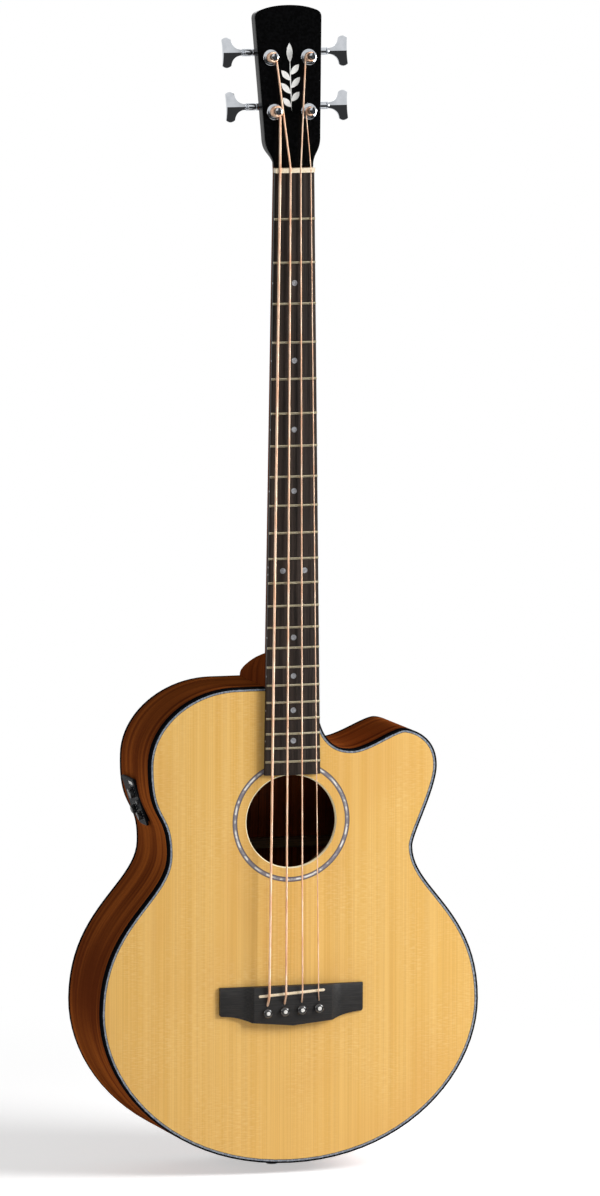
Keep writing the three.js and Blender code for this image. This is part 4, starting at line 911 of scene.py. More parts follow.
def fret_tree():
    """Node tree that sets a bar across the board at each fret of the scale."""
    tree, names, take = new_tree("frets", {
        "Frets": "Int", "Scale length": "Float", "Saddle height": "Float", "Width at nut": "Float",
        "Width at last fret": "Float", "Wire width": "Float", "Wire height": "Float",
        "Board radius": "Float", "Board face": "Float", "Finish": "Material",
    })
    length = take["Scale length"]
    line = length.node("GeometryNodeMeshLine", {"mode": "OFFSET"}, {"Count": take["Frets"]})
    number = length.node("GeometryNodeInputIndex", {}, {}) + 1.0
    height = take["Saddle height"] + length * 2.0 ** (number * (-1 / 12))
    last = length * (1.0 - 2.0 ** (take["Frets"] * (-1 / 12)))
    share = (take["Saddle height"] + length - height) / last
    growth = take["Width at last fret"] - take["Width at nut"]
    half_width = (take["Width at nut"] + share * growth) * 0.5
    spots = shift(line, Position=line.vector(0.0, 0.0, height))
    wire = length.node("GeometryNodeCurvePrimitiveLine", {}, {"Start": (-1, 0, 0), "End": (1, 0, 0)})
    wire = wire.node("GeometryNodeResampleCurve", {}, {"Curve": wire, "Count": 17})
    section = length.node("GeometryNodeCurvePrimitiveCircle", {}, {"Resolution": 16, "Radius": 1.0})
    size = wire.vector(half_width, take["Wire height"], take["Wire width"] * 0.5)
    bars = {"Points": spots, "Instance": sweep(wire, section), "Scale": size}
    spread = spots.node("GeometryNodeInstanceOnPoints", {}, bars)
    real = spread.node("GeometryNodeRealizeInstances", {}, {"Geometry": spread})
    across = real.node("GeometryNodeInputPosition", {}, {}).axis(0)
    sag = across * across / (take["Board radius"] * 2.0) + take["Board face"]
    close_tree(shift(real, Offset=real.vector(0.0, sag, 0.0)), take["Finish"])
    return tree, names


nickel = mottled(
    "nickel", (0.25, 1.0, 3.0), 3.0, ("#c9bfa8", "#a39878"), (0.24, 0.36), 0.01, (0.35, 0.65), Metallic=1.0
)
frets = new_piece("fret_wires", bpy.data.meshes.new("fret_wires"))
draw(frets, *fret_tree(), {
    "Frets": fret_count, "Scale length": scale_length * mm, "Saddle height": saddle_z * mm,
    "Width at nut": nut_width * mm, "Width at last fret": last_width * mm,
    "Wire width": fret_width * mm, "Wire height": fret_height * mm,
    "Board radius": board_radius * mm, "Board face": board_face_y * mm, "Finish": nickel,
})
fix(frets, "steel", ["fingerboard"], sharp=50)

# Nut: a bone block between the fingerboard and the headstock, with a round-bottomed slot sawn
# for each string.

nut_thickness = 5.0
nut_gap = 0.05
string_diameters = (2.67, 2.16, 1.65, 1.14)
nut_spacing, saddle_spacing = 11.3, 18.2
slot_ease = 0.12
nut_floor_y = board_face_y - 1.5


def spread_at(i, spacing):
    return (i - 1.5) * spacing


def nut_top(x):
    return nut_floor_y - string_diameters[1] / 2 + crown(x)


def in_slot(x):
    return any(
        abs(x - spread_at(i, nut_spacing)) <= string_diameters[i] / 2 + 0.25 for i in range(4)
    )


bone = mottled("bone", (1.0, 1.0, 0.4), 3.0, ("#fbecd3", "#edd8b2"), (0.36, 0.48), 0.02, (0.35, 0.7))
across = [-nut_width / 2 + nut_width * i / 40 for i in range(41)]
rows = [(x, nut_top(x)) for x in across if not in_slot(x)]
for i, diameter in enumerate(string_diameters):
    x, reach = spread_at(i, nut_spacing), diameter / 2 + slot_ease
    lip = nut_top(x)
    rows += [(x - reach, lip), (x + reach, lip)]
    for k in range(9):
        turn = math.pi * k / 8
        deep = nut_floor_y + crown(x) - diameter / 2 + reach * math.sin(turn)
        rows.append((x - reach * math.cos(turn) * 0.999, max(deep, lip + 0.01)))
profile = [(-nut_width / 2, front_y)] + sorted(rows) + [(nut_width / 2, front_y)]
nut = Shell().loft([[(x, y, nut_z + up) for x, y in profile] for up in (nut_gap, nut_thickness)])
soften(put("bone_nut", nut, bone, "bone", ["nut"]), 0.25, 2, 50)

# Bridge: a rosewood block glued to the top, thin at its wings and scooped up to the middle, with
# a pointed lower edge. Oiled, near black.

bridge_half, bridge_height = 79.0, 9.2
block_half, wing_start, wing_height, tip_height = 43.0, 56.0, 4.6, 3.4
bridge_top_edge, bridge_end_edge, bridge_point = 3.8, -27.0, -38.5
bridge_shoulder = (45.0, -34.2)
bridge_corner, bridge_ease, tip_ease = 3.0, 0.9, 0.8


def bridge_low_edge():
    """The lower edge from the middle to the wing's end, as rising places across and their height."""
    start = (bridge_half - bridge_corner, bridge_end_edge)
    handle = ((bridge_half + bridge_shoulder[0]) / 2, bridge_end_edge)
    corner = ((bridge_half, bridge_end_edge), (bridge_half, bridge_end_edge + bridge_corner))
    points = [(0.0, bridge_point), bridge_shoulder] + bend(14, bridge_shoulder, handle, start)
    return points + bend(6, start, *corner)


def bridge_rise(x):
    """How high the bridge stands at a place across."""
    if x <= block_half:
        return bridge_height
    if x >= wing_start:
        return wing_height + (tip_height - wing_height) * (x - wing_start) / (bridge_half - wing_start)
    share = (x - block_half) / (wing_start - block_half)
    return wing_height + (bridge_height - wing_height) * (1 - share) ** 2


low_x, low_z = zip(*bridge_low_edge())


def bridge_ring(x):
    edge_z = float(np.interp(abs(x), low_x, low_z)) + saddle_z
    high_z = bridge_top_edge + saddle_z - (tip_ease if abs(x) > bridge_half - 0.01 else 0.0)
    top_y, ease = front_y - bridge_rise(abs(x)), bridge_ease
    low = [(edge_z, front_y), (edge_z, top_y + ease), (edge_z + 0.3 * ease, top_y + 0.3 * ease)]
    high = [(high_z - 0.3 * ease, top_y + 0.3 * ease), (high_z, top_y + ease), (high_z, front_y)]
    return [(x, y, z) for z, y in low + [(edge_z + ease, top_y), (high_z - ease, top_y)] + high]


# Places across where the bridge has a ring, closer together at its scoops and ends.
stations = {0.0, 20.0, bridge_shoulder[0], 74.0, 77.0, 78.2, bridge_half}
stations |= {block_half + i for i in range(14)} | {60.0 + 4 * i for i in range(4)}
stations = sorted(stations | {x for x in low_x if x > 70})
stations = [-x for x in stations[:0:-1]] + stations
bridge_wood, place = new_finish("bridge_wood")
grain = streaks(crosswise(place), 1.0, 55.0, 2.0)
pores = streaks(crosswise(place), 0.4, 6.0, 5.0).between(0.58, 0.68)
tone = (pores * 0.5).blend(grain.between(0.35, 0.7).blend("#1c1b1b", "#2c2a29"), "#121010")
gloss = grain.between(0.3, 0.7, 0.42, 0.55)
coat_with(place, tone, gloss, grain * 0.5 - pores, 0.05, Specular_IOR_Level=0.3)
bridge = Shell().loft([bridge_ring(x) for x in stations])
put("rosewood_bridge", bridge, bridge_wood, "dark_wood", ["bridge"], sharp=30)

# Saddle and pickup: a bone strip standing in the bridge's slot, a little askew, its top rounded
# to the strings, on a thin pickup strip.

saddle_half, saddle_thickness, saddle_height, saddle_shift = 36.5, 3.0, 12.2, -1.55
saddle_depth = 5.0
skew = (-6.2, -1.5)
skew_angle = math.atan2(skew[1] - skew[0], 2 * saddle_half)
# Up the saddle: share of its height, and how thin it is there.
saddle_levels = ((0.0, 1.0), (0.86, 1.0), (0.95, 0.82), (1.0, 0.4))


def saddle_line(x):
    share = (x - saddle_shift + saddle_half) / (2 * saddle_half)
    return saddle_z + skew[0] + (skew[1] - skew[0]) * share


def saddle_ring(height_share, thin):
    ring = []
    radius = saddle_thickness / 2
    for sign in (1, -1):
        for i in range(13):
            turn = math.pi * (i / 12 - 0.5)
            along = sign * (saddle_half - radius + radius * math.cos(turn))
            aside = sign * radius * thin * math.sin(turn)
            x = saddle_shift + along * math.cos(skew_angle) - aside * math.sin(skew_angle)
            z = saddle_line(saddle_shift) + along * math.sin(skew_angle) + aside * math.cos(skew_angle)
            foot, peak = front_y - saddle_depth, front_y - saddle_height + crown(x)
            ring.append((x, foot + (peak - foot) * height_share, z))
    return ring


rings = [saddle_ring(*level) for level in saddle_levels]
saddle = Shell().loft(rings, capped=False)
for ring in (rings[0], rings[-1]):
    for i in range(12):
        saddle.cap([ring[i], ring[i + 1], ring[24 - i], ring[25 - i]])
put("bone_saddle", saddle, bone, "bone", ["saddle"], sharp=50)
strip_black = mottled("strip_black", 4.0, 2.0, ("#17181a", "#2a2b2e"), 0.6, 0.05)
wear(["saddle_pickup"], strip_black)

# Bridge pins: turned black plastic pegs with a collar and a white dot in the head, pushed into
# tapered holes so that each wedges a string's ball end under the top.

pin_spacing, pin_line = 18.9, (-24.1, -20.9)
pin_head_y = front_y - bridge_height - 0.9
forwards = (0, -1, 0)
# A turned piece's profile runs along it as pairs of radius and height.
pin_profile = (
    (0.0, 3.1), (2.3, 3.1), (2.5, 2.7), (2.8, 2.6), (3.0, 2.9), (3.3, 3.0), (4.6, 2.35), (5.0, 1.7),
    (4.9, 0.9), (4.2, 0.3), (3.2, 0.0), (2.6, -0.2), (2.5, -6.0), (2.4, -16.5), (0.0, -16.5),
)
pin_dot_profile = ((0.0, 3.4), (1.5, 3.35), (2.1, 3.15), (2.1, 2.6), (0.0, 2.6))


def pin_spot(i):
    return spread_at(i, pin_spacing), saddle_z + pin_line[0] + (pin_line[1] - pin_line[0]) * i / 3


def turned(profile, centre, axis, steps):
    """A shell turned from its profile about a line through the centre."""
    axis = Vector(axis).normalized()
    side = axis.orthogonal().normalized()
    up = axis.cross(side)
    rings = []
    for radius, along in profile:
        ring = []
        for x, y in circle(radius, steps=steps):
            ring.append(tuple(Vector(centre) + axis * along + side * x + up * y))
        rings.append(ring)
    return Shell().loft(rings, capped=False)


pin_black = mottled(
    "pin_black", 0.9, 3.0, ("#08080a", "#141416"), (0.16, 0.26), 0.01, (0.35, 0.7), Coat_Weight=1.0,
    Coat_Roughness=0.1,
)
pin_white = mottled("pin_white", 0.8, 2.0, ("#f7f7f4", "#e6e4de"), 0.3, 0.01)
for i in range(4):
    x, z = pin_spot(i)
    head, node = (x, pin_head_y, z), f"bridge_pin_{i + 1}"
    put(f"pin_{i + 1}", turned(pin_profile, head, forwards, 32), pin_black, "black_plastic", [node])
    put(f"pin_dot_{i + 1}", turned(pin_dot_profile, head, forwards, 24), pin_white, "pearl", [node])

# Tuners: chromed bass machines. A washer and threaded bushing on the face, a slotted post through
# the head, a closed gear case behind, and a key with a two-lobed plate on a worm shaft.

posts = ((-18.8, 58.0, -1), (-20.7, 115.0, -1), (20.7, 115.0, 1), (18.8, 58.0, 1))
bushing_profile = (
    (5.2, 2.4), (5.9, 2.4), (6.3, 2.1), (6.4, 1.5), (7.0, 1.35), (7.2, 1.6), (7.9, 1.5),
    (8.4, 1.0), (8.4, 0.1), (6.7, 0.0), (6.7, -11.0), (5.2, -11.0), (5.2, 2.4),
)
post_profile = (
    (0.0, 16.2), (1.0, 16.2), (1.3, 17.0), (3.2, 17.0), (3.8, 16.6), (3.9, 16.2), (3.9, 14.0),
    (3.6, 13.5), (3.6, 3.2), (3.8, 2.6), (5.0, 2.2), (5.0, -13.0), (3.2, -13.0), (3.2, -17.6),
    (0.0, -17.6),
)
slot_half, slot_reach, slot_top, slot_floor = 1.1, 9.0, 19.0, 11.0
case_y = plate_thickness + core_thickness + 2 * glue_gap
case_depth, case_half, case_low, case_high, case_round = 10.0, 10.0, -9.5, 13.5, 4.0
screw_across, screw_z = 6.5, -6.5
screw_profile = ((0.0, 0.7), (0.5, 0.7), (0.6, 0.4), (1.2, 0.75), (1.9, 0.4), (2.0, 0.0), (0.0, 0.0))
cover_profile = ((0.0, 0.5), (3.4, 0.5), (3.9, 0.0), (0.0, 0.0))
worm_up, worm_y = 6.9, 17.2
sleeve_profile = (
    (0.0, 0.0), (4.1, 0.0), (4.1, 15.0), (3.6, 15.4), (3.6, 16.4), (4.1, 16.8), (4.1, 23.9),
    (3.7, 24.3), (0.0, 24.3),
)
shaft_profile = (
    (0.0, -8.0), (1.6, -8.0), (1.6, 24.6), (3.4, 24.6), (4.1, 25.1), (4.1, 25.7), (3.4, 26.2),
    (2.6, 26.4), (2.2, 27.5), (0.0, 27.5),
)
key_begin, key_reach, key_half, key_neck, key_lobe = 25.4, 22.6, 16.0, 3.2, 4.0
key_ridge, key_slope, key_root = 2.2, 1.35, 0.6
# From a key's middle to its edge: share of the way, and share of the thickness kept.
key_levels = ((0.0, 1.0), (0.93, 1.0), (0.98, 0.7), (1.0, 0.0))


def case_outline():
    x, low, high = case_half - case_round, case_low + case_round, case_high - case_round
    loop = []
    for quarter, (mid_x, mid_z) in enumerate(((x, low), (x, high), (-x, high), (-x, low)), -1):
        for i in range(9):
            turn = math.pi / 2 * (quarter + i / 8)
            loop.append((mid_x + case_round * math.cos(turn), mid_z + case_round * math.sin(turn)))
    return loop


def key_edge():
    """A lobe's edge from the shaft to the notch in the middle of the key's end."""
    end, tip = key_begin + key_reach, key_half - key_lobe / 2
    start, back, front = (key_begin, key_neck), (end - 2.4 * key_lobe, tip), (end, tip)
    edge = [start] + bend(20, start, (key_begin + key_reach / 2, key_neck), back)
    edge += bend(14, back, (end - 1.2 * key_lobe, key_half + key_lobe / 2), front)
    return edge + bend(20, front, (end - key_lobe / 2, 0.0), (end, -tip))[:10]


def key_row(face, mirror, share, keep):
    """Points at a share of the way from the key's middle to its edge, on one face of one lobe."""
    row = []
    for x, z in key_edge():
        slim = min(1.0, key_root + (1 - key_root) * (x - key_begin) / (0.4 * key_reach))
        thick = keep * (key_ridge - key_slope * share * abs(z) / key_half)
        flat_x = min(x, key_begin + key_reach - 0.45 * key_lobe)
        row.append((flat_x + (x - flat_x) * share, face * thick * slim, mirror * z * share))
    return row


def key_plate():
    """A two-lobed plate, thickest on a ridge along its middle and thin at its edge."""
    shell, begin_ring = Shell(), []
    for face, mirror in ((1, 1), (-1, 1), (-1, -1), (1, -1)):
        rows = [key_row(face, mirror, *level) for level in key_levels]
        for first, second in zip(rows, rows[1:]):
            shell.wall(first, second, closed=False)
        ends = [row[0] for row in rows]
        begin_ring += ends[:-1] if face == mirror else ends[:0:-1]
    shell.cap(begin_ring)
    return shell


def split_top(post, matrix):
    """Saws the string slot across a post's top."""
    loop = oblong(-slot_half, slot_half, -slot_reach, slot_reach)
    box = slab(loop, -slot_top, -slot_floor).moved(matrix)
    saw = new_piece("saw", new_mesh("saw", box.points, faces=box.faces))
    face_out(saw.data)
    modifier = post.modifiers.new("slot", "BOOLEAN")
    modifier.operation = "DIFFERENCE"
    modifier.object = saw
    settle(post)
    bpy.data.objects.remove(saw)
    post.data.set_sharp_from_angle(angle=math.radians(35))


chrome, place = new_finish("chrome")
smear = (place * 0.12).noise(3.0)
tone, gloss = smear.between(0.3, 0.7).blend("#d0d3d8", "#c4c8cd"), smear.between(0.35, 0.7, 0.06, 0.1)
coat_with(place, tone, gloss, (place * 2.5).noise(), 0.004, Metallic=1.0)


def chromed(name, shell, node, **fixing):
    return put(name, shell, chrome, "chrome", [node], **fixing)


for i, (x, z, side) in enumerate(posts, 1):
    to_post = to_head @ Matrix.Translation((x, 0, z))
    to_key = to_post @ Matrix.Translation((0, worm_y, worm_up))
    to_key = to_key @ Matrix.Rotation(0 if side > 0 else math.pi, 4, "Z")
    bushing = turned(bushing_profile, (0, 0, 0), forwards, 48).moved(to_post)
    chromed(f"bushing_{i}", bushing, f"tuner_bushing_{i}", sharp=40)
    post = turned(post_profile, (0, 0, 0), forwards, 48).moved(to_post)
    split_top(chromed(f"post_{i}", post, f"tuner_post_{i}", body=f"tuner_post_{i}_body"), to_post)
    case = slab(case_outline(), case_y, case_y + case_depth).moved(to_post)
    soften(chromed(f"gear_case_{i}", case, f"tuner_housing_{i}"), 1.2)
    sleeve = turned(sleeve_profile, (0, worm_y, worm_up), (side, 0, 0), 32)
    for profile, spot_x, spot_z, steps in (
        (screw_profile, -screw_across, screw_z, 20),
        (screw_profile, screw_across, screw_z, 20),
        (cover_profile, 0, 0, 32),
    ):
        sleeve.join(turned(profile, (spot_x, case_y + case_depth, spot_z), (0, 1, 0), steps))
    chromed(f"gear_sleeve_{i}", sleeve.moved(to_post), f"tuner_housing_{i}")
    key = {"node": f"tuner_key_{i}", "body": f"tuner_key_{i}_body"}
    chromed(f"key_shaft_{i}", turned(shaft_profile, (0, 0, 0), (1, 0, 0), 32).moved(to_key), **key)
    chromed(f"key_plate_{i}", key_plate().moved(to_key), **key, sharp=6)

# Strings: steel cores wound with bronze wire, from the ball under the bridge plate, over saddle
# and nut, to three turns round the waist of each post and into its slot.

bridge_plate_thickness = 3.0
plates_y = front_y + top_thickness + bridge_plate_thickness + 2 * glue_gap
ball_radius, ball_end, ball_start = 2.6, 3.3, 0.4
pin_clearance = 2.8
wrap_turns, wrap_steps, wrap_gap = 3, 40, 0.12
wrap_radius, wrap_low = 3.62, 2.7
string_sides = 14
winding_pitch = 0.45


def string_path(i):
    """A string's middle line from its ball to the last turn round its post, with its radii."""
    radius = string_diameters[i] / 2
    x, pin_z = pin_spot(i)
    z = pin_z + pin_clearance + radius
    saddle_x, nut_x = spread_at(i, saddle_spacing), spread_at(i, nut_spacing)
    crest_y = front_y - saddle_height + crown(saddle_x) - 0.02 - radius
    crest = Vector((saddle_x, crest_y, saddle_line(saddle_x)))
    ramp_z = z + 0.42 * (crest.z - 1.8 - z)
    bridge_y = front_y - bridge_height
    nut_y = nut_floor_y + crown(nut_x) - radius
    leave = Vector((nut_x, nut_y + 0.05, nut_z + 4.5))
    path = [
        ((x, plates_y + ball_end, z), ball_radius), ((x, plates_y + ball_start, z), ball_radius),
        ((x, plates_y + ball_start / 2, z), radius), ((x, bridge_y + 4.0, z), radius),
        ((x, bridge_y - 0.3 * radius, ramp_z), radius), (crest + Vector((0, 0.35, -1.3)), radius),
        (crest, radius), (crest + Vector((0, 0.02, 1.2)), radius),
        ((nut_x, nut_y, nut_z + 0.5), radius), (leave, radius),
    ]
    post_x, post_z, side = posts[i]
    begin, reach = to_head.inverted() @ leave, wrap_radius + radius
    dx, dz = begin.x - post_x, begin.z - post_z
    first = math.atan2(dz, dx) - side * math.acos(reach / math.hypot(dx, dz))
    for step in range(wrap_turns * wrap_steps + 1):
        turns = step / wrap_steps
        angle = first - side * turns * 2 * math.pi
        depth = wrap_low + radius + turns * (string_diameters[i] + wrap_gap)
        spot = Vector((post_x + reach * math.cos(angle), -depth, post_z + reach * math.sin(angle)))
        path.append((to_head @ spot, radius))
    return path


def string_tree():
    """Node tree that draws a round string along a path, as thick as the path says."""
    tree, names, take = new_tree("strings", {"Path": "Geometry", "Sides": "Int", "Finish": "Material"})
    curve = mark_run(take["Path"].node("GeometryNodeMeshToCurve", {}, {"Mesh": take["Path"]}))
    layer, inputs = {"data_type": "FLOAT"}, {"Name": "thickness"}
    thickness = curve.node("GeometryNodeInputNamedAttribute", layer, inputs)
    inputs = {"Resolution": take["Sides"], "Radius": 1.0}
    section = curve.node("GeometryNodeCurvePrimitiveCircle", {}, inputs)
    close_tree(sweep(curve, section, thickness), take["Finish"])
    return tree, names


string_bronze, place = new_finish("string_bronze")
windings = run_along(place) * (2 * math.pi / winding_pitch)
age = (place * (0.2, 0.2, 0.05)).noise(3.0)
tone, gloss = age.between(0.35, 0.65).blend("#fad9bd", "#e8b795"), age.between(0.3, 0.7, 0.36, 0.46)
coat_with(place, tone, gloss, windings.maths("SINE", windings), 0.03, Metallic=0.7)
string_maker = string_tree()
for i in range(4):
    spots, radii = zip(*string_path(i))
    piece = new_piece(
        f"wound_string_{i + 1}", new_mesh("path", spots, [(k, k + 1) for k in range(len(spots) - 1)])
    )
    layer = piece.data.attributes.new("thickness", "FLOAT", "POINT")
    layer.data.foreach_set("value", [radius * mm for radius in radii])
    draw(piece, *string_maker, {"Sides": string_sides, "Finish": string_bronze})
    fix(piece, "bronze", [f"string_{i + 1}"], sharp=70)

# Strap pin and output jack: turned and chromed. Both sit in the tail block on the centre line,
# the pin screwed in and the jack through its bore, held by its flange.

jack_spot = (0, 36.0, tail_z - 0.05)
strap_pin_profile = (
    (0.0, 0.3), (2.2, 0.3), (2.6, 0.0), (5.4, 0.0), (6.6, 0.6), (7.0, 1.6), (7.0, 2.6), (6.3, 3.6),
    (5.0, 4.8), (4.6, 5.8), (4.6, 7.2), (5.4, 8.4), (6.6, 9.2), (7.0, 9.8), (7.0, 10.9), (4.0, 10.9),
    (4.0, 30.6), (0.0, 30.6),
)
jack_profile = (
    (0.0, 31.0), (3.3, 31.0), (3.3, -2.2), (4.4, -2.45), (5.6, -2.45), (6.0, -2.0), (6.2, -1.6),
    (9.9, -1.6), (10.8, -1.1), (11.0, -0.6), (11.0, 0.0), (5.8, 0.0), (5.8, 34.0), (0.0, 34.0),
)
chromed("strap_pin", turned(strap_pin_profile, (0, 0, 0), (0, 0, 1), 40), "end_pin")
chromed("jack_socket", turned(jack_profile, jack_spot, (0, 0, 1), 40), "output_jack")

# Preamp: a black moulded panel let into the bass rib, with three knobs, two small buttons and a
# pale window. A case behind it holds the circuit and the battery.

panel_width, panel_height, panel_proud, panel_back = 43.0, 52.6, 2.2, 0.6
panel_corner, panel_round = 3.0, 19.0
case_inset, case_wall, case_floor, case_end = 3.5, 2.0, 3.0, 26.0
window_left, window_right, window_low, window_high = -15.0, -3.0, 19.4, 23.0
window_proud, window_depth = 0.12, 1.0
# Each control's place across and up as shares of the panel, its radius and how far it stands out.
knobs = (
    ("volume_knob", -0.174, 0.2, 6.0, 5.0), ("bass_knob", 0.128, -0.18, 4.6, 4.6),
    ("treble_knob", -0.267, -0.28, 4.6, 4.6),
)
buttons = (("phase_button", -0.337, 0.0, 2.3, 2.0), ("tuner_button", 0.198, 0.12, 2.3, 2.0))
knob_ribs, rib_depth, stem_profile = 40, 0.35, ((0.0, -0.3), (1.6, -0.3), (1.6, -8.0), (0.0, -8.0))
mark_count, mark_gap, mark_profile = 11, 1.8, ((0.0, 0.1), (0.35, 0.1), (0.35, -0.3), (0.0, -0.3))
inward, upward = Vector((0.950707, 0.0, 0.31009)), Vector((-0.31009, 0.0, 0.950707))
wall_spot = Vector((-148.8415, 8.0, 394.8))
to_wall = Matrix.Translation(wall_spot) @ Matrix((inward, (0, 1, 0), upward)).transposed().to_4x4()
outward = (-1, 0, 0)


def panel_outline(grow):
    half, up, r, c = panel_width / 2 + grow, panel_height / 2 + grow, panel_round + grow, panel_corner
    loop = [(half - r, -up)] + bend(10, (half - r, -up), (half - r / 4, -up + r / 4), (half, -up + r))
    for start, corner, end in (
        ((half, up - c), (half, up), (half - c, up)),
        ((c - half, up), (-half, up), (-half, up - c)),
        ((-half, c - up), (-half, -up), (c - half, -up)),
    ):
        loop += [start] + bend(6, start, corner, end)
    return loop


def across_wall(*steps):
    """Rings from outlines of places back and up the rib, each with its distance inwards."""
    return [[(x, y, z) for y, z in loop] for loop, x in steps]


panel_black = mottled(
    "panel_black", 3.0, 2.0, ("#121316", "#1e2024"), (0.38, 0.5), 0.04, Specular_IOR_Level=0.02
)
loop = panel_outline(0.0)
panel = Shell().loft(across_wall((loop, -panel_proud), (loop, panel_back))).moved(to_wall)
soften(put("preamp_panel", panel, panel_black, "black_control", ["preamp"]), 0.7)
outer, inner = panel_outline(-case_inset), panel_outline(-case_inset - case_wall)
case = Shell().loft(across_wall(
    (outer, panel_back), (outer, case_end), (inner, case_end), (inner, case_floor)
)).moved(to_wall)
put("preamp_case", case, panel_black, "black_control", ["preamp"])

knob_black = mottled(
    "knob_black", 2.0, 2.0, ("#0d0e10", "#191a1d"), (0.2, 0.32), 0.02, Specular_IOR_Level=0.4
)
window_glow = mottled("window_glow", 1.5, 2.0, ("#c9ccc6", "#e8e9e2"), 0.25, 0.01)
loop = oblong(window_left, window_right, window_low, window_high)
window = across_wall((loop, -panel_proud - window_proud), (loop, -window_depth))
put("preamp_window", Shell().loft(window).moved(to_wall), window_glow, "pearl", ["preamp"])


def knob_ring(y, z, radius, valley, x):
    """A ring of ribs and valleys round a knob's middle."""
    turns = [math.pi * k / knob_ribs for k in range(2 * knob_ribs)]
    radii = [radius if k % 2 else valley for k in range(2 * knob_ribs)]
    return [(x, y + r * math.cos(t), z + r * math.sin(t)) for r, t in zip(radii, turns)]


marks = Shell()
for name, across, up, radius, proud in knobs:
    y, z = across * panel_width, up * panel_height
    face = panel_proud + proud
    for k in range(mark_count):
        turn = math.radians(-45 + 27 * k)
        reach = radius + mark_gap
        spot = (-panel_proud - 0.05, y + reach * math.cos(turn), z + reach * math.sin(turn))
        marks.join(turned(mark_profile, spot, outward, 8))
    valley = radius - rib_depth
    knob = Shell().loft([
        knob_ring(y, z, share * radius, share * low, x)
        for share, low, x in (
            (1.0, valley, -panel_proud - 0.35), (0.96, valley, -face + 1.0),
            (0.84, radius, -face + 0.15), (0.74, radius, -face), (0.6, radius, -face + 0.25),
        )
    ])
    knob.join(turned(stem_profile, (-panel_proud, y, z), outward, 16))
    body = f"{name}_body"
    put(f"{name}_cap", knob.moved(to_wall), knob_black, "black_control", [name], body=body, sharp=30)
    loop = oblong(y - 0.35, y + 0.35, z + 0.15 * radius, z + 0.8 * radius)
    pointer = Shell().loft(across_wall((loop, -face - 0.06), (loop, -face + 0.6))).moved(to_wall)
    put(f"{name}_pointer", pointer, pin_white, "pearl", [name], body=body)
for name, across, up, radius, proud in buttons:
    profile = (
        (0.0, proud), (0.7 * radius, proud), (0.93 * radius, proud - 0.25), (radius, proud - 0.7),
        (radius, -8.5), (0.0, -8.5),
    )
    spot = (-panel_proud, across * panel_width, up * panel_height)
    button = turned(profile, spot, outward, 28).moved(to_wall)
    put(f"{name}_cap", button, knob_black, "black_control", [name], body=f"{name}_body", sharp=30)
put("panel_marks", marks.moved(to_wall), pin_white, "pearl", ["preamp"])

# Floor, lamps and camera: a plain pale studio floor under the guitar, one large soft lamp from the
# right, weaker ones from the left and behind, and a long lens at the photograph's place.

floor_radius, floor_drop, floor_sides = 1.2, 0.0005, 64
fade_start, fade_end = 350.0, 1100.0
floor_finish, place = new_finish("floor_white")
tree = place.tree
seen = Wire(tree, tree.nodes.new("ShaderNodeLightPath").outputs["Is Camera Ray"])
shader = tree.nodes["Principled BSDF"]
shader.inputs["Base Color"].default_value = (0.93, 0.93, 0.93, 1)
shader.inputs["Roughness"].default_value = 0.9
shader.inputs["Specular IOR Level"].default_value = 0.0
shader.inputs["Emission Strength"].default_value = 0.5
tree.links.new(seen.blend((0, 0, 0, 1), (1, 1, 1, 1)).socket, shader.inputs["Emission Color"])
white = place.node("ShaderNodeEmission", {}, {"Color": (1, 1, 1, 1), "Strength": 1.0})
far_off = place.length().between(fade_start, fade_end)
inputs = {0: far_off, 1: Wire(tree, shader.outputs[0]), 2: white}
mixed = place.node("ShaderNodeMixShader", {}, inputs)
tree.links.new(mixed.socket, tree.nodes["Material Output"].inputs["Surface"])
floor_mesh = bpy.data.meshes.new("studio_floor")
rim = [(x, y, -floor_drop) for x, y in circle(floor_radius, steps=floor_sides)]
floor_mesh.from_pydata(rim, [], [list(range(floor_sides))])
floor_mesh.materials.append(floor_finish)
new_piece("studio_floor", floor_mesh)

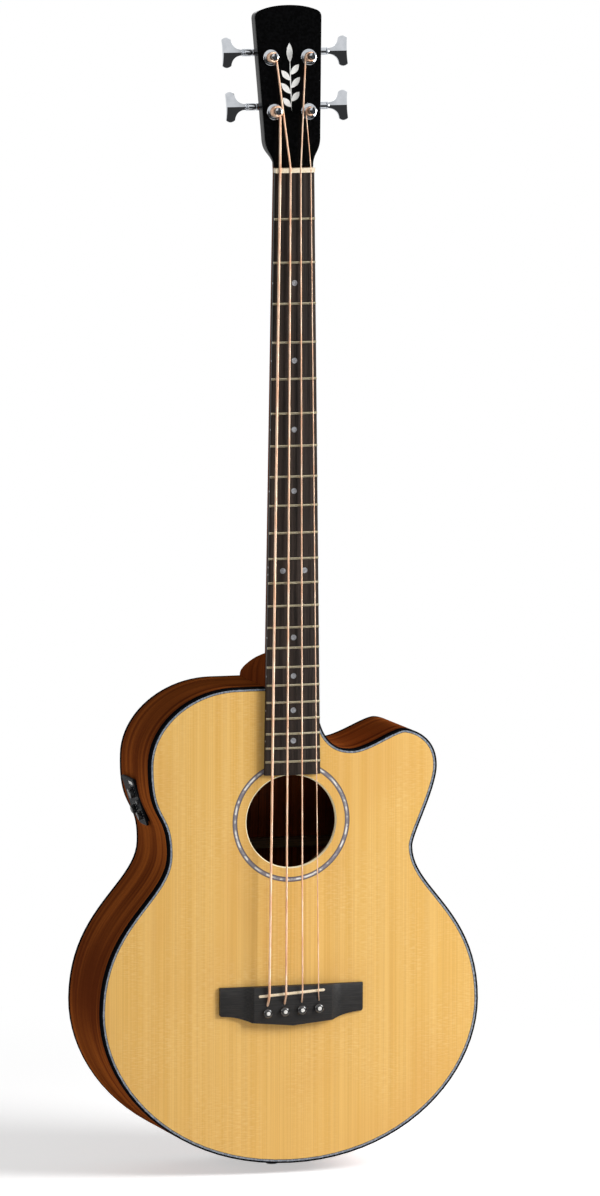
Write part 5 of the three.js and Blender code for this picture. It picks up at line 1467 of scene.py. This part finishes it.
# The camera sees plain white. A shine sees white above and behind the guitar and is dark elsewhere,
# and everything gets a weak even light.
ambient = 0.16
world = bpy.data.worlds.new("studio")
bpy.context.scene.world = world
world.use_nodes = True
tree = world.node_tree
rays = tree.nodes.new("ShaderNodeLightPath")
camera_ray, glossy_ray, through_ray = (
    Wire(tree, rays.outputs[name]) for name in ("Is Camera Ray", "Is Glossy Ray", "Is Transmission Ray")
)
toward = Wire(tree, tree.nodes.new("ShaderNodeTexCoord").outputs["Generated"])
high, behind = toward.axis(2).between(0.14, 0.36), toward.axis(1).between(-0.35, 0.35)
reflected = toward.maths("MAXIMUM", high, behind) * 0.95 + 0.05
plain = camera_ray.maths("MAXIMUM", camera_ray, through_ray)
any_ray = plain.maths("MAXIMUM", plain, glossy_ray)
strength = plain + glossy_ray * (1.0 - plain) * reflected + (1.0 - any_ray) * ambient
tree.links.new(strength.socket, tree.nodes["Background"].inputs["Strength"])
tree.nodes["Background"].inputs["Color"].default_value = (1, 1, 1, 1)


def lamp(name, spot, aim, size, power):
    light = bpy.data.lights.new(name, "AREA")
    light.shape = "DISK"
    light.size = size
    light.energy = power
    stand = new_piece(name, light)
    stand.location = spot
    stand.rotation_euler = (Vector(spot) - Vector(aim)).to_track_quat("Z", "Y").to_euler()


lamp("key_lamp", (1.4, -1.05, 1.1), (0.0, 0.0, 0.45), 1.0, 39.0)
lamp("fill_lamp", (-2.9, -0.9, 1.2), (0.0, 0.0, 0.45), 1.5, 14.0)
lamp("back_lamp", (0.9, 2.6, 1.6), (0.0, 0.0, 0.6), 2.0, 9.0)

camera_spot = (-3.55935, -11.42385, 2.03245)
yaw, pitch, roll = 0.3044, 0.1187, 0.003
bpy.context.scene.view_settings.view_transform = "Standard"
lens = bpy.data.cameras.new("camera")
lens.sensor_fit = "AUTO"
lens.sensor_width = 36.0
lens.lens = 343.1
lens.clip_end = 60.0
camera = new_piece("camera", lens)
aim = Matrix.Rotation(-yaw, 4, "Z") @ Matrix.Rotation(math.pi / 2 - pitch, 4, "X")
camera.matrix_world = Matrix.Translation(camera_spot) @ aim @ Matrix.Rotation(roll, 4, "Z")
bpy.context.scene.camera = camera
